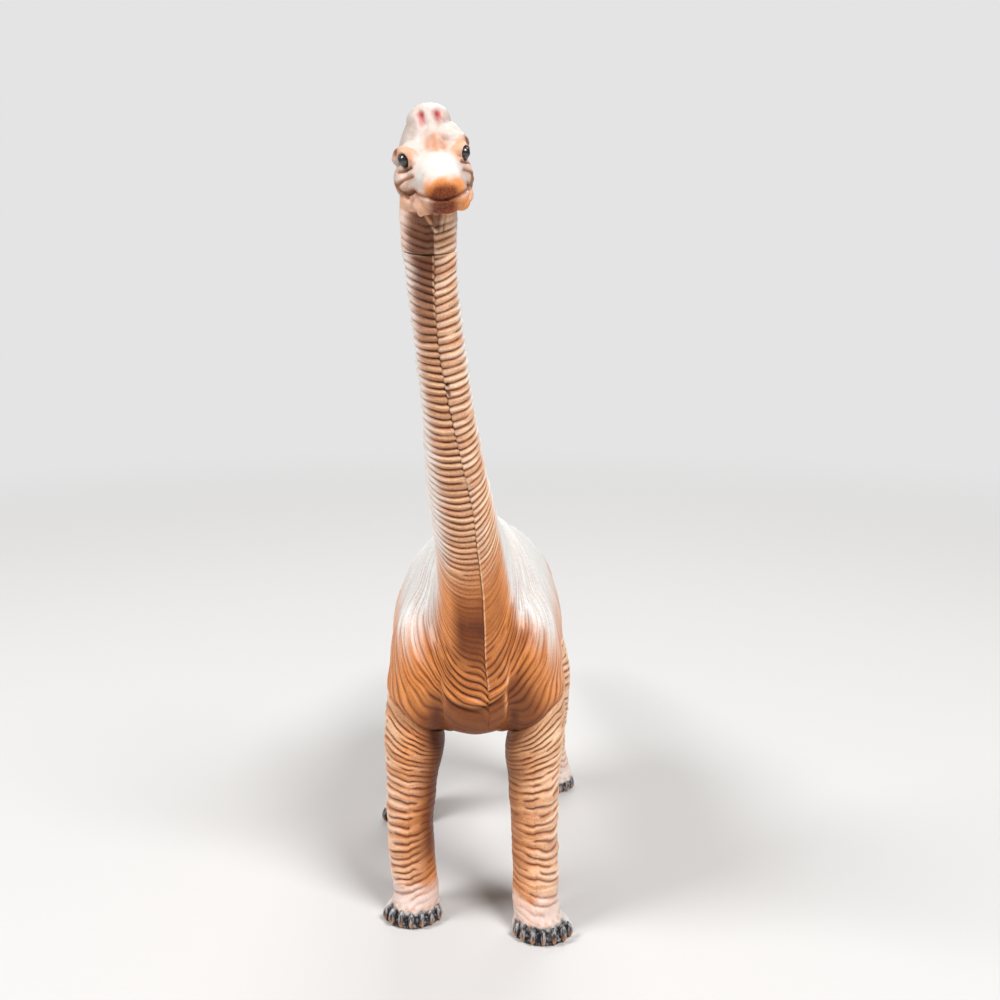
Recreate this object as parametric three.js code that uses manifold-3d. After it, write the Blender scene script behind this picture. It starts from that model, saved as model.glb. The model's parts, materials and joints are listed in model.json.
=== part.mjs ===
// A long-necked dinosaur figure in soft plastic, standing on four legs with its neck held high.
// The trunk and neck are two hollow halves that meet on a seam down the middle. The head, the tail
// and the four legs are separate castings that snap into round sockets and turn there, and two
// beads are pressed into the head as eyes. Millimetres, Z up; the figure faces -Y.

import * as THREE from 'three';
import { mergeVertices } from 'three/addons/utils/BufferGeometryUtils.js';
import Module from 'manifold-3d';

const wasm = await Module();
wasm.setup();

// Trunk and neck
const trunkLength = 128; // from the line of the front toes back to the tail seam
const withersHeight = 160;
const trunkHalfWidth = 35;
const neckRise = 98; // neck end above the withers
const neckReach = 35; // neck end in front of the line of the front toes
const neckLean = 13.3; // how far the neck's end leans to the figure's right
const neckRadius = 8.7; // at the seam under the head
const neckEndTilt = THREE.MathUtils.degToRad(15.7); // the neck's end leans forward
const rumpHeight = 117; // of the tail seam's middle
const tailRadius = 13.5; // at the seam on the rump
const shellWall = 2.6;
const tailPlugDepth = 14; // solid end of the rump, round the tail's socket
const seamLine = 0.15; // half the opening between the two body halves

// Skin folds
const neckRibPitch = 2.6;
const chestFoldPitch = 6.5;
const ribRelief = 0.42; // ridge above, and groove below, the mean skin
const ribSlip = 0.9; // the folds of the left half stand this much higher than the right ones
const legFoldPitch = 6.4;
const legFoldRelief = 0.38;
const tailFoldPitch = 11;
const tailFoldRelief = 0.3;

// Sockets
const playGap = 0.3; // running clearance of every plug, face and bead
const collarRise = 0.9; // snap collar above the plug's shaft
const locatorRadius = 2.0;
const locatorReach = 4.5;
const locatorWall = 2.2;
const cutOverrun = 60; // how far a cutting form runs past what it cuts

// Front legs
const frontSeamRadius = 12.9;
const frontSeamHeight = 87;
const frontSeamAside = 22.8;
const frontSeamBack = 14;
const frontPlugTilt = THREE.MathUtils.degToRad(35.5);
const frontPlugRadius = 6.0;
const frontPlugLength = 9.0;

// Rear legs
const rearSeamRadius = 16;
const rearSeamHeight = 99;
const rearSeamAside = 22.5;
const rearSeamForward = 24; // seam's middle ahead of the tail seam
const rearPlugTilt = THREE.MathUtils.degToRad(55);
const rearPlugRadius = 7.0;
const rearPlugLength = 9.0;

// Stance: how far each foot stands in front of its seam, and how far a knee is drawn inward
const frontKneeIn = 3.5; // of the left leg, which carries more of the weight
const frontLeftStep = 7.0;
const frontRightStep = -3.0;
const rearLeftStep = -25.5;
const rearRightStep = 5.0;

// Head and tail
const skullLength = 45;
const skullHeight = 29;
const skullHalfWidth = 12.0;
const skullRise = 25.8; // middle of the skull above the neck seam
const skullAhead = 2.0;
const skullAside = 1.5;
const skullPitch = THREE.MathUtils.degToRad(27);
const skullRoll = THREE.MathUtils.degToRad(8);
const skullYaw = THREE.MathUtils.degToRad(8);
const headPlugRadius = 4.4;
const headPlugLength = 9.0;
const eyeRadius = 1.9;
const nostrilRadius = 1.3;
const tailLength = 141;
const tailDrop = 52;
const tailSwing = 16; // the tip curves this far to the figure's left
const tailPlugRadius = 5.2;
const tailPlugLength = 8.5;
const clawRadius = 2.3;

// Faces round each form, and round half of the body
const trunkHalfSides = 14;
const chestHalfSides = 10;
const neckHalfSides = 6;
const innerHalfSides = 6;
const legSides = 12;
const massSides = 14;
const tailSides = 12;
const skullSides = 16;
const throatSides = 12;
const plugSides = 12;
const beadSides = 10;
const lumpSides = 9;
const clawSides = 7;
const hollowSteps = 13;

// Trunk outline forward of the tail seam: back and belly line as shares of trunk length and
// withers height, then half width, then how much lower than its middle the section is widest
const trunkShares = [
  { back: [0.935, 0.856], belly: [0.94, 0.618], width: 0.6, egg: 0 },
  { back: [0.82, 0.888], belly: [0.83, 0.592], width: 0.79, egg: 0.04 },
  { back: [0.656, 0.92], belly: [0.656, 0.56], width: 0.915, egg: 0.18 },
  { back: [0.492, 0.953], belly: [0.477, 0.531], width: 0.945, egg: 0.29 },
  { back: [0.367, 0.981], belly: [0.313, 0.519], width: 0.935, egg: 0.29 },
  { back: [0.297, 0.997], belly: [0.188, 0.516], width: 0.895, egg: 0.29 },
  { back: [0.258, 1.003], belly: [0.086, 0.516], width: 0.81, egg: 0.25 },
  { back: [0.234, 1.006], belly: [0.0, 0.528], width: 0.73, egg: 0.16 },
  { back: [0.219, 1.011], belly: [-0.063, 0.572], width: 0.59, egg: 0.1 },
  { back: [0.203, 1.017], belly: [-0.094, 0.638], width: 0.47, egg: 0.05 },
];

// Neck outline upward: shares of neck reach (forward) and neck rise (above the withers), half
// width as a share of the neck radius, and sideways lean as a share of the neck lean
const neckShares = [
  { back: [-0.677, 0.044], belly: [0.386, -0.469], width: 1.61, lean: 0.03 },
  { back: [-0.594, 0.071], belly: [0.394, -0.337], width: 1.46, lean: 0.09 },
  { back: [-0.486, 0.112], belly: [0.409, -0.194], width: 1.36, lean: 0.18 },
  { back: [-0.357, 0.173], belly: [0.446, -0.041], width: 1.29, lean: 0.31 },
  { back: [-0.223, 0.265], belly: [0.523, 0.128], width: 1.2, lean: 0.45 },
  { back: [-0.071, 0.393], belly: [0.617, 0.311], width: 1.07, lean: 0.57 },
  { back: [0.086, 0.541], belly: [0.723, 0.485], width: 0.98, lean: 0.68 },
  { back: [0.229, 0.704], belly: [0.829, 0.653], width: 0.95, lean: 0.81 },
  { back: [0.363, 0.862], belly: [0.929, 0.816], width: 0.93, lean: 0.93 },
];
const neckEndShares = [0.735, 0.975]; // middle of the neck's end

// The rounded mass of a shoulder or hip: half sizes as shares of its seam's radius, and its middle
// inward of the seam and above it
const shoulderShares = { halves: [0.86, 1.3, 2.0], inward: 0.13, up: 1.35 };
const hipShares = { halves: [0.86, 1.36, 1.5], inward: 0.22, up: 0.95 };
const locatorPlaces = [3.6, 5.2, 7.2]; // outline rows whose middles the cross pins run through

// Front leg from its seam down: outward and back shift, drop, share of the plug's tilt, half width
// and half depth. Shifts and halves are shares of the seam radius, drops of the seam height.
const frontLegShares = [
  { out: 0, back: 0, drop: 0, tilt: 1, wide: 1, deep: 1 },
  { out: 0.04, back: 0, drop: 0.085, tilt: 0.7, wide: 0.95, deep: 0.97 },
  { out: 0.08, back: 0, drop: 0.18, tilt: 0.36, wide: 0.87, deep: 0.91 },
  { out: 0.145, back: 0, drop: 0.29, tilt: 0.1, wide: 0.775, deep: 0.84 },
  { out: 0.195, back: -0.02, drop: 0.41, tilt: 0, wide: 0.725, deep: 0.78 },
  { out: 0.23, back: 0, drop: 0.54, tilt: 0, wide: 0.685, deep: 0.74 },
  { out: 0.21, back: 0.04, drop: 0.68, tilt: 0, wide: 0.69, deep: 0.73 },
  { out: 0.17, back: 0.05, drop: 0.79, tilt: 0, wide: 0.675, deep: 0.71 },
  { out: 0.1, back: 0.02, drop: 0.87, tilt: 0, wide: 0.68, deep: 0.74 },
  { out: 0.13, back: -0.02, drop: 0.93, tilt: 0, wide: 0.765, deep: 0.85 },
  { out: 0.2, back: -0.04, drop: 0.985, tilt: 0, wide: 0.915, deep: 0.95 },
  { out: 0.2, back: -0.04, drop: 1, tilt: 0, wide: 0.88, deep: 0.91 },
];

const rearLegShares = [
  { out: 0, back: 0, drop: 0, tilt: 1, wide: 1, deep: 1 },
  { out: 0.17, back: -0.05, drop: 0.08, tilt: 0.76, wide: 0.86, deep: 0.97 },
  { out: 0.33, back: -0.13, drop: 0.18, tilt: 0.5, wide: 0.73, deep: 0.93 },
  { out: 0.51, back: -0.22, drop: 0.3, tilt: 0.24, wide: 0.69, deep: 0.86 },
  { out: 0.59, back: -0.26, drop: 0.42, tilt: 0.08, wide: 0.61, deep: 0.74 },
  { out: 0.62, back: -0.16, drop: 0.55, tilt: 0, wide: 0.55, deep: 0.64 },
  { out: 0.63, back: -0.03, drop: 0.68, tilt: 0, wide: 0.5, deep: 0.57 },
  { out: 0.65, back: 0.03, drop: 0.8, tilt: 0, wide: 0.53, deep: 0.58 },
  { out: 0.7, back: 0, drop: 0.88, tilt: 0, wide: 0.61, deep: 0.66 },
  { out: 0.75, back: -0.03, drop: 0.94, tilt: 0, wide: 0.68, deep: 0.71 },
  { out: 0.77, back: -0.04, drop: 0.985, tilt: 0, wide: 0.71, deep: 0.74 },
  { out: 0.77, back: -0.04, drop: 1, tilt: 0, wide: 0.68, deep: 0.71 },
];

// Skull from its back to the snout: place along the length, top and bottom as shares of the
// height, half width, and how much lower than its middle the section is widest
const skullShares = [
  { at: 0.0, top: 0.08, bottom: -0.04, width: 0.14, egg: 0 },
  { at: 0.03, top: 0.28, bottom: -0.22, width: 0.5, egg: 0.1 },
  { at: 0.1, top: 0.5, bottom: -0.34, width: 0.78, egg: 0.3 },
  { at: 0.19, top: 0.6, bottom: -0.4, width: 0.87, egg: 0.42 },
  { at: 0.28, top: 0.555, bottom: -0.42, width: 0.92, egg: 0.42 },
  { at: 0.37, top: 0.4, bottom: -0.42, width: 0.96, egg: 0.3 },
  { at: 0.48, top: 0.275, bottom: -0.385, width: 0.93, egg: 0.1 },
  { at: 0.6, top: 0.24, bottom: -0.33, width: 0.77, egg: 0.05 },
  { at: 0.72, top: 0.23, bottom: -0.27, width: 0.62, egg: 0.05 },
  { at: 0.84, top: 0.225, bottom: -0.235, width: 0.55, egg: 0.05 },
  { at: 0.93, top: 0.195, bottom: -0.2, width: 0.52, egg: 0 },
  { at: 0.98, top: 0.13, bottom: -0.14, width: 0.38, egg: 0 },
  { at: 1.0, top: 0.05, bottom: -0.05, width: 0.15, egg: 0 },
];
const skullMiddleShare = 0.33; // where the skull's middle lies along its length
const skullSteps = 16;

// Places on the skull across, ahead and up from its middle, as shares of its half width, length
// and height; sizes in the same shares
const eyeShares = [0.75, 0.165, 0.17];
const nostrilShares = [0.2, -0.02, 0.47];
const browShares = { place: [0.58, 0.14, 0.31], size: [0.28, 0.12, 0.07] };
const cheekShares = { place: [0.66, 0.09, -0.14], size: [0.31, 0.18, 0.15] };

// Throat from the neck seam upward: shares of the skull's rise and of the neck radius
const throatShares = [
  { up: 0, girth: 1, back: 0 },
  { up: 0.2, girth: 1.02, back: 0 },
  { up: 0.42, girth: 1.04, back: 0.02 },
  { up: 0.66, girth: 0.98, back: 0.06 },
  { up: 0.85, girth: 0.8, back: 0.08 },
];

const collarShares = [0.42, 0.68]; // along a plug: where its collar starts and is widest
const plugTipShare = 0.72;
const socketShare = 1.06; // room round a leg's seam, of the seam radius
const ankleShare = 0.72; // where a leg's folds end, down its length
const strideShare = 1.25; // a leg's stride goes on growing past the ground
const seamFadeFolds = 6; // half folds over which a leg's relief grows below its seam

const clawCount = 5;
const clawSpread = THREE.MathUtils.degToRad(29);
const clawShares = [0.85, 1.35, 1.25]; // half sizes, of the claw radius
const clawPlaceShares = [0.98, 0.9]; // ahead, of the sole; up, of the claw radius

// Tail from the rump: place along, drop, swing and radius
const tailShares = [
  { along: 0, drop: 0, swing: 0, girth: 1 },
  { along: 0.13, drop: 0.035, swing: 0.01, girth: 0.87 },
  { along: 0.31, drop: 0.15, swing: 0.06, girth: 0.7 },
  { along: 0.5, drop: 0.32, swing: 0.2, girth: 0.54 },
  { along: 0.69, drop: 0.55, swing: 0.45, girth: 0.38 },
  { along: 0.86, drop: 0.79, swing: 0.74, girth: 0.24 },
  { along: 0.97, drop: 0.95, swing: 0.95, girth: 0.13 },
  { along: 1.0, drop: 1.0, swing: 1.0, girth: 0.05 },
];

// Helpers: closed meshes from rings, and solids from meshes

const fromShares = (rows, pick) => rows.map((row) => pick(row));

function smoothCurve(points) {
  return new THREE.CatmullRomCurve3(points, false, 'catmullrom', 0.5);
}

// Joins two rings of points that may differ in count, walking round both together
function bridgeRings(first, second, offset, next, faces) {
  let i = 0;
  let j = 0;
  while (i < first || j < second) {
    const a = offset + (i % first);
    const b = next + (j % second);
    const nearFirst = (i + 1) / first <= (j + 1) / second;
    if (j >= second || (i < first && nearFirst)) {
      faces.push(a, b, offset + ((i + 1) % first));
      i += 1;
    } else {
      faces.push(a, b, next + ((j + 1) % second));
      j += 1;
    }
  }
}

function signedVolume(points, faces) {
  let total = 0;
  for (let k = 0; k < faces.length; k += 3) {
    const [a, b, c] = [points[faces[k]], points[faces[k + 1]], points[faces[k + 2]]];
    total += a.dot(b.clone().cross(c));
  }
  return total;
}

// A closed form through a list of rings, each a list of points that goes round the same way
function loftRings(rings) {
  const points = rings.flat();
  const faces = [];
  let offset = 0;
  for (let r = 0; r + 1 < rings.length; r += 1) {
    bridgeRings(rings[r].length, rings[r + 1].length, offset, offset + rings[r].length, faces);
    offset += rings[r].length;
  }
  const capEnd = (ring, start, flip) => {
    const middle = ring.reduce((sum, p) => sum.add(p), new THREE.Vector3());
    points.push(middle.divideScalar(ring.length));
    for (let k = 0; k < ring.length; k += 1) {
      const edge = [start + k, start + ((k + 1) % ring.length)];
      faces.push(...(flip ? edge.reverse() : edge), points.length - 1);
    }
  };
  capEnd(rings[0], 0, false);
  capEnd(rings.at(-1), offset, true);
  if (signedVolume(points, faces) < 0) faces.reverse();
  const geometry = new THREE.BufferGeometry().setFromPoints(points);
  geometry.setIndex(faces);
  return geometry;
}

function solidOf(source) {
  let geometry = source.clone();
  for (const name of ['normal', 'uv']) {
    if (geometry.getAttribute(name)) geometry.deleteAttribute(name);
  }
  geometry = mergeVertices(geometry);
  const vertProperties = new Float32Array(geometry.getAttribute('position').array);
  const triVerts = new Uint32Array(geometry.getIndex().array);
  return new wasm.Manifold(new wasm.Mesh({ numProp: 3, vertProperties, triVerts }));
}

function geometryOf(solid) {
  const mesh = solid.getMesh();
  const geometry = new THREE.BufferGeometry();
  geometry.setAttribute('position', new THREE.BufferAttribute(mesh.vertProperties, 3));
  geometry.setIndex(new THREE.BufferAttribute(mesh.triVerts, 1));
  geometry.computeVertexNormals();
  return geometry;
}

// The body: sections that stand square to the spine and fan out round the withers

function neckEndPoint(ahead) {
  return [
    neckEndShares[0] * neckReach + ahead * Math.cos(neckEndTilt),
    withersHeight + neckEndShares[1] * neckRise - ahead * Math.sin(neckEndTilt),
  ];
}

const bodyRows = [
  {
    back: [-trunkLength, rumpHeight + tailRadius],
    belly: [-trunkLength, rumpHeight - tailRadius],
    width: tailRadius,
    egg: 0,
    lean: 0,
  },
  ...trunkShares.map((row) => ({
    back: [-row.back[0] * trunkLength, row.back[1] * withersHeight],
    belly: [-row.belly[0] * trunkLength, row.belly[1] * withersHeight],
    width: row.width * trunkHalfWidth,
    egg: row.egg,
    lean: 0,
  })),
  ...neckShares.map((row) => ({
    back: [row.back[0] * neckReach, withersHeight + row.back[1] * neckRise],
    belly: [row.belly[0] * neckReach, withersHeight + row.belly[1] * neckRise],
    width: row.width * neckRadius,
    egg: 0,
    lean: -row.lean * neckLean,
  })),
  {
    back: neckEndPoint(-neckRadius),
    belly: neckEndPoint(neckRadius),
    width: neckRadius,
    egg: 0,
    lean: -neckLean,
  },
];
const rowCount = bodyRows.length - 1;
const neckStart = trunkShares.length + 1;
const chestStart = neckStart - 4; // row where the folds of the chest begin
const walkStep = 0.02; // of a row
const endFade = 0.3; // rows over which the folds fade at the neck's end

const linePoint = (row, key) => new THREE.Vector3(row.lean, -row[key][0], row[key][1]);
const backCurve = smoothCurve(fromShares(bodyRows, (row) => linePoint(row, 'back')));
const bellyCurve = smoothCurve(fromShares(bodyRows, (row) => linePoint(row, 'belly')));
const girthCurve = smoothCurve(
  fromShares(bodyRows, (row) => new THREE.Vector3(row.width, row.egg, 0)),
);

function bodySection(place) {
  const share = THREE.MathUtils.clamp(place / rowCount, 0, 1);
  const back = backCurve.getPoint(share);
  const belly = bellyCurve.getPoint(share);
  const girth = girthCurve.getPoint(share);
  const up = back.clone().sub(belly);
  return {
    centre: back.clone().add(belly).multiplyScalar(0.5),
    halfHeight: up.length() / 2,
    up: up.normalize(),
    halfWidth: girth.x,
    egg: girth.y,
  };
}

// Angle 0 is the back line, half a turn the belly line; lift moves the skin out or in
function sectionPoint(section, angle, lift) {
  const along = Math.cos(angle) * (section.halfHeight + lift);
  const bulge = 1 - section.egg * Math.cos(angle);
  const across = Math.sin(angle) * bulge * (section.halfWidth + lift);
  return section.centre.clone()
    .addScaledVector(section.up, along)
    .add(new THREE.Vector3(across, 0, 0));
}

// Half a section: a D whose straight edge stands off the seam by edge. A negative edge carries
// the straight edge past the seam.
function halfRing(place, side, steps, liftAt, edge) {
  const section = bodySection(place);
  const ring = Array.from({ length: steps + 1 }, (_, k) => {
    const angle = (k / steps) * Math.PI;
    const point = sectionPoint(section, angle, liftAt(angle));
    point.x = section.centre.x + side * Math.max(point.x - section.centre.x, edge);
    return point;
  });
  if (edge > 0) return ring;
  const onEdge = (point) => point.clone().setX(section.centre.x + side * edge);
  return [onEdge(ring[0]), ...ring, onEdge(ring.at(-1))];
}

// Places along the body whose belly points lie one half pitch apart, from the chest to the head
function foldPlaces(slip) {
  const places = [];
  let walked = -slip;
  let previous = bodySection(chestStart);
  for (let place = chestStart; place < rowCount; place += walkStep) {
    const section = bodySection(place);
    const step = sectionPoint(section, Math.PI, 0).distanceTo(sectionPoint(previous, Math.PI, 0));
    walked += step;
    previous = section;
    const onNeck = THREE.MathUtils.smoothstep(place, neckStart - 1, neckStart + 2);
    const pitch = THREE.MathUtils.lerp(chestFoldPitch, neckRibPitch, onNeck);
    if (walked > pitch / 2) {
      places.push(place);
      walked -= pitch / 2;
    }
  }
  return places;
}

function bodySkin(side) {
  const rings = [];
  const smooth = () => 0;
  for (let place = 0; place < chestStart; place += 0.5) {
    rings.push(halfRing(place, side, trunkHalfSides, smooth, seamLine));
  }
  foldPlaces(side > 0 ? ribSlip : 0).forEach((place, k) => {
    const onNeck = THREE.MathUtils.smoothstep(place, chestStart, neckStart + 1);
    const end = THREE.MathUtils.smoothstep(rowCount - place, 0, endFade);
    const turn = k % 2 ? -1 : 1;
    const liftAt = (angle) => {
      const front = (1 - Math.cos(angle)) / 2;
      return turn * ribRelief * end * THREE.MathUtils.lerp(front, 1, onNeck);
    };
    const steps = place < neckStart ? chestHalfSides : neckHalfSides;
    rings.push(halfRing(place, side, steps, liftAt, seamLine));
  });
  rings.push(halfRing(rowCount, side, neckHalfSides, smooth, seamLine));
  return loftRings(rings);
}

// The hollow of the trunk, from the solid end of the rump to the solid neck
function bodyHollow(side) {
  const start = bodySection(0).centre;
  let first = 0;
  while (bodySection(first).centre.distanceTo(start) < tailPlugDepth) first += walkStep;
  const last = neckStart + 1;
  const rings = [];
  for (let k = 0; k <= hollowSteps; k += 1) {
    const place = THREE.MathUtils.lerp(first, last, k / hollowSteps);
    rings.push(halfRing(place, side, innerHalfSides, () => -shellWall, -playGap));
  }
  return loftRings(rings);
}

// A plug with a snap collar, turned about +Z from its seam at the origin. The bore round it is
// the same form grown by the clearance, with its flats clear of the plug's corners as it turns.
function plugShape(radius, length, grow) {
  const outset = grow > 0 ? 1 / Math.cos(Math.PI / plugSides) : 1;
  const shaft = (radius + grow) * outset;
  const collar = (radius + collarRise + grow) * outset;
  const tip = (radius * plugTipShare + grow) * outset;
  const reach = length + grow;
  const profile = [
    [0, -playGap - grow],
    [shaft, -playGap - grow],
    [shaft, length * collarShares[0] - grow],
    [collar, length * collarShares[1] - grow / 2],
    [tip, reach],
    [0, reach],
  ];
  const lathe = new THREE.LatheGeometry(
    profile.map(([x, y]) => new THREE.Vector2(x, y)),
    plugSides,
  );
  return lathe.rotateX(Math.PI / 2);
}

// The shoulder or hip that the leg hangs from: a rounded mass over its seam
function seamMass(kind, side) {
  const { halves, inward, up } = kind.mass;
  const mass = new THREE.SphereGeometry(1, massSides, massSides / 2);
  mass.scale(...halves.map((share) => share * kind.radius));
  mass.translate(
    side * (kind.aside - inward * kind.radius),
    kind.behind,
    kind.height + up * kind.radius,
  );
  return mass;
}

// Round bar about +Z between two heights
function roundBar(radius, from, to, sides) {
  const bar = new THREE.CylinderGeometry(radius, radius, to - from, sides);
  bar.rotateX(Math.PI / 2);
  return bar.translate(0, 0, (from + to) / 2);
}

// Legs

const legKinds = {
  front: {
    rows: frontLegShares,
    radius: frontSeamRadius,
    height: frontSeamHeight,
    aside: frontSeamAside,
    behind: frontSeamBack,
    tilt: frontPlugTilt,
    plugRadius: frontPlugRadius,
    plugLength: frontPlugLength,
    mass: shoulderShares,
  },
  rear: {
    rows: rearLegShares,
    radius: rearSeamRadius,
    height: rearSeamHeight,
    aside: rearSeamAside,
    behind: trunkLength - rearSeamForward,
    tilt: rearPlugTilt,
    plugRadius: rearPlugRadius,
    plugLength: rearPlugLength,
    mass: hipShares,
  },
};

const legs = [
  { name: 'front_left_leg', kind: legKinds.front, side: 1, step: frontLeftStep, kneeIn: frontKneeIn },
  { name: 'front_right_leg', kind: legKinds.front, side: -1, step: frontRightStep },
  { name: 'rear_left_leg', kind: legKinds.rear, side: 1, step: rearLeftStep },
  { name: 'rear_right_leg', kind: legKinds.rear, side: -1, step: rearRightStep },
];

// The seam's frame on the body: its Z runs inward along the plug
function seamMatrix({ kind, side }) {
  const turn = new THREE.Matrix4().makeRotationY(-side * kind.tilt);
  turn.setPosition(side * kind.aside, kind.behind, kind.height);
  return turn;
}

function legCurves({ kind, side, step, kneeIn = 0 }) {
  const axis = smoothCurve(fromShares(kind.rows, (row) => {
    const stride = -step * THREE.MathUtils.smoothstep(row.drop, 0, strideShare) * strideShare;
    const inward = kneeIn * Math.sin(Math.PI * Math.min(row.drop, 1));
    return new THREE.Vector3(
      side * (row.out * kind.radius - inward),
      row.back * kind.radius + stride,
      -row.drop * kind.height,
    );
  }));
  const girth = smoothCurve(fromShares(kind.rows, (row) => (
    new THREE.Vector3(row.wide * kind.radius, row.deep * kind.radius, row.tilt * kind.tilt)
  )));
  return { axis, girth };
}

function legRing(curves, side, share, lift) {
  const centre = curves.axis.getPoint(share);
  const girth = curves.girth.getPoint(share);
  return Array.from({ length: legSides }, (_, k) => {
    const angle = (k / legSides) * 2 * Math.PI;
    const point = new THREE.Vector3(
      Math.cos(angle) * (girth.x + lift),
      Math.sin(angle) * (girth.y + lift),
      0,
    );
    point.applyAxisAngle(new THREE.Vector3(0, 1, 0), -side * girth.z);
    return point.add(centre);
  });
}

function legSkin(leg) {
  const curves = legCurves(leg);
  const last = leg.kind.rows.length - 1;
  const foldCount = Math.round(leg.kind.height / legFoldPitch) * 2;
  const rings = [legRing(curves, leg.side, 0, 0)];
  for (let k = 1; k < foldCount * ankleShare; k += 1) {
    const fade = THREE.MathUtils.smoothstep(k, 0, seamFadeFolds);
    const lift = (k % 2 ? -1 : 1) * legFoldRelief * fade;
    rings.push(legRing(curves, leg.side, k / foldCount, lift));
  }
  for (let row = Math.ceil(last * ankleShare); row <= last; row += 1) {
    rings.push(legRing(curves, leg.side, row / last, 0));
  }
  const foot = curves.axis.getPoint(1);
  const sole = curves.girth.getPoint(1);
  return { geometry: loftRings(rings), foot, sole };
}

function claws(foot, sole) {
  const [ahead, up] = clawPlaceShares;
  return Array.from({ length: clawCount }, (_, k) => {
    const angle = (k - (clawCount - 1) / 2) * clawSpread;
    const claw = new THREE.SphereGeometry(clawRadius, clawSides, clawSides - 2);
    claw.scale(...clawShares);
    claw.translate(0, -sole.y * ahead, clawRadius * up);
    claw.rotateZ(angle * (sole.x / sole.y));
    return claw.translate(foot.x, foot.y, foot.z);
  });
}

function makeLeg(leg) {
  const { kind } = leg;
  const { geometry, foot, sole } = legSkin(leg);
  let solid = solidOf(geometry);
  for (const claw of claws(foot, sole)) solid = solid.add(solidOf(claw));
  const floor = new THREE.BoxGeometry(cutOverrun * 2, cutOverrun * 2, cutOverrun);
  floor.translate(0, 0, -kind.height - cutOverrun / 2);
  solid = solid.subtract(solidOf(floor));
  const turn = new THREE.Matrix4().makeRotationY(-leg.side * kind.tilt);
  const clear = roundBar(kind.radius + cutOverrun, -playGap, kind.radius, legSides);
  solid = solid.subtract(solidOf(clear.applyMatrix4(turn)));
  const plug = plugShape(kind.plugRadius, kind.plugLength, 0);
  plug.translate(0, 0, -playGap);
  return solid.add(solidOf(plug.applyMatrix4(turn)));
}

// Head

const neckEnd = bodySection(rowCount);
const neckAxis = new THREE.Vector3(1, 0, 0).cross(neckEnd.up);
const neckTurn = new THREE.Quaternion().setFromUnitVectors(new THREE.Vector3(0, 0, 1), neckAxis);

// Skull axes: X to the figure's left, Y back, Z up, turned as the head is held
const skullMatrix = new THREE.Matrix4().makeRotationFromEuler(
  new THREE.Euler(skullPitch, -skullRoll, skullYaw, 'ZYX'),
);
skullMatrix.setPosition(
  neckEnd.centre.x + skullAside,
  neckEnd.centre.y - skullAhead,
  neckEnd.centre.z + skullRise,
);

function skullSkin() {
  const frames = smoothCurve(fromShares(skullShares, (row) => (
    new THREE.Vector3((skullMiddleShare - row.at) * skullLength, row.top * skullHeight,
      row.bottom * skullHeight)
  )));
  const girths = smoothCurve(fromShares(skullShares, (row) => (
    new THREE.Vector3(row.width * skullHalfWidth, row.egg, 0)
  )));
  const rings = [];
  for (let k = 0; k <= skullSteps; k += 1) {
    const frame = frames.getPoint(k / skullSteps);
    const girth = girths.getPoint(k / skullSteps);
    const middle = (frame.y + frame.z) / 2;
    const half = (frame.y - frame.z) / 2;
    rings.push(Array.from({ length: skullSides }, (_, n) => {
      const angle = (n / skullSides) * 2 * Math.PI;
      const across = Math.sin(angle) * girth.x * (1 - girth.y * Math.cos(angle));
      return new THREE.Vector3(across, frame.x, middle + half * Math.cos(angle));
    }));
  }
  return loftRings(rings);
}

function skullPlace(side, [across, ahead, up]) {
  return [side * across * skullHalfWidth, -ahead * skullLength, up * skullHeight];
}

function lump(side, { place, size }) {
  const form = new THREE.SphereGeometry(1, lumpSides, lumpSides - 3);
  form.scale(size[0] * skullHalfWidth, size[1] * skullLength, size[2] * skullHeight);
  return form.translate(...skullPlace(side, place));
}

function throat() {
  const rings = throatShares.map((row) => Array.from({ length: throatSides }, (_, k) => {
    const angle = (k / throatSides) * 2 * Math.PI;
    return new THREE.Vector3(
      Math.sin(angle) * row.girth * neckRadius,
      Math.cos(angle) * row.girth * neckRadius + row.back * skullRise,
      playGap + row.up * skullRise,
    );
  }));
  return loftRings(rings).applyQuaternion(neckTurn);
}

function makeHead() {
  const toNeck = neckEnd.centre.clone().negate();
  const placeSkull = (form) => form.applyMatrix4(skullMatrix).translate(...toNeck.toArray());
  let solid = solidOf(placeSkull(skullSkin()));
  for (const side of [-1, 1]) {
    const brow = lump(side, browShares);
    const cheek = lump(side, cheekShares);
    solid = solid.add(solidOf(placeSkull(brow))).add(solidOf(placeSkull(cheek)));
  }
  solid = solid.add(solidOf(throat()));
  for (const side of [-1, 1]) {
    const pocket = new THREE.SphereGeometry(eyeRadius + playGap, beadSides, beadSides / 2);
    pocket.translate(...skullPlace(side, eyeShares));
    const nostril = new THREE.SphereGeometry(nostrilRadius, lumpSides, lumpSides - 3);
    nostril.translate(...skullPlace(side, nostrilShares));
    solid = solid.subtract(solidOf(placeSkull(pocket))).subtract(solidOf(placeSkull(nostril)));
  }
  const plug = plugShape(headPlugRadius, headPlugLength, 0).rotateX(Math.PI);
  plug.translate(0, 0, playGap);
  return solid.add(solidOf(plug.applyQuaternion(neckTurn)));
}

// Tail, along +Y from its seam

const rump = bodySection(0);

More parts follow.
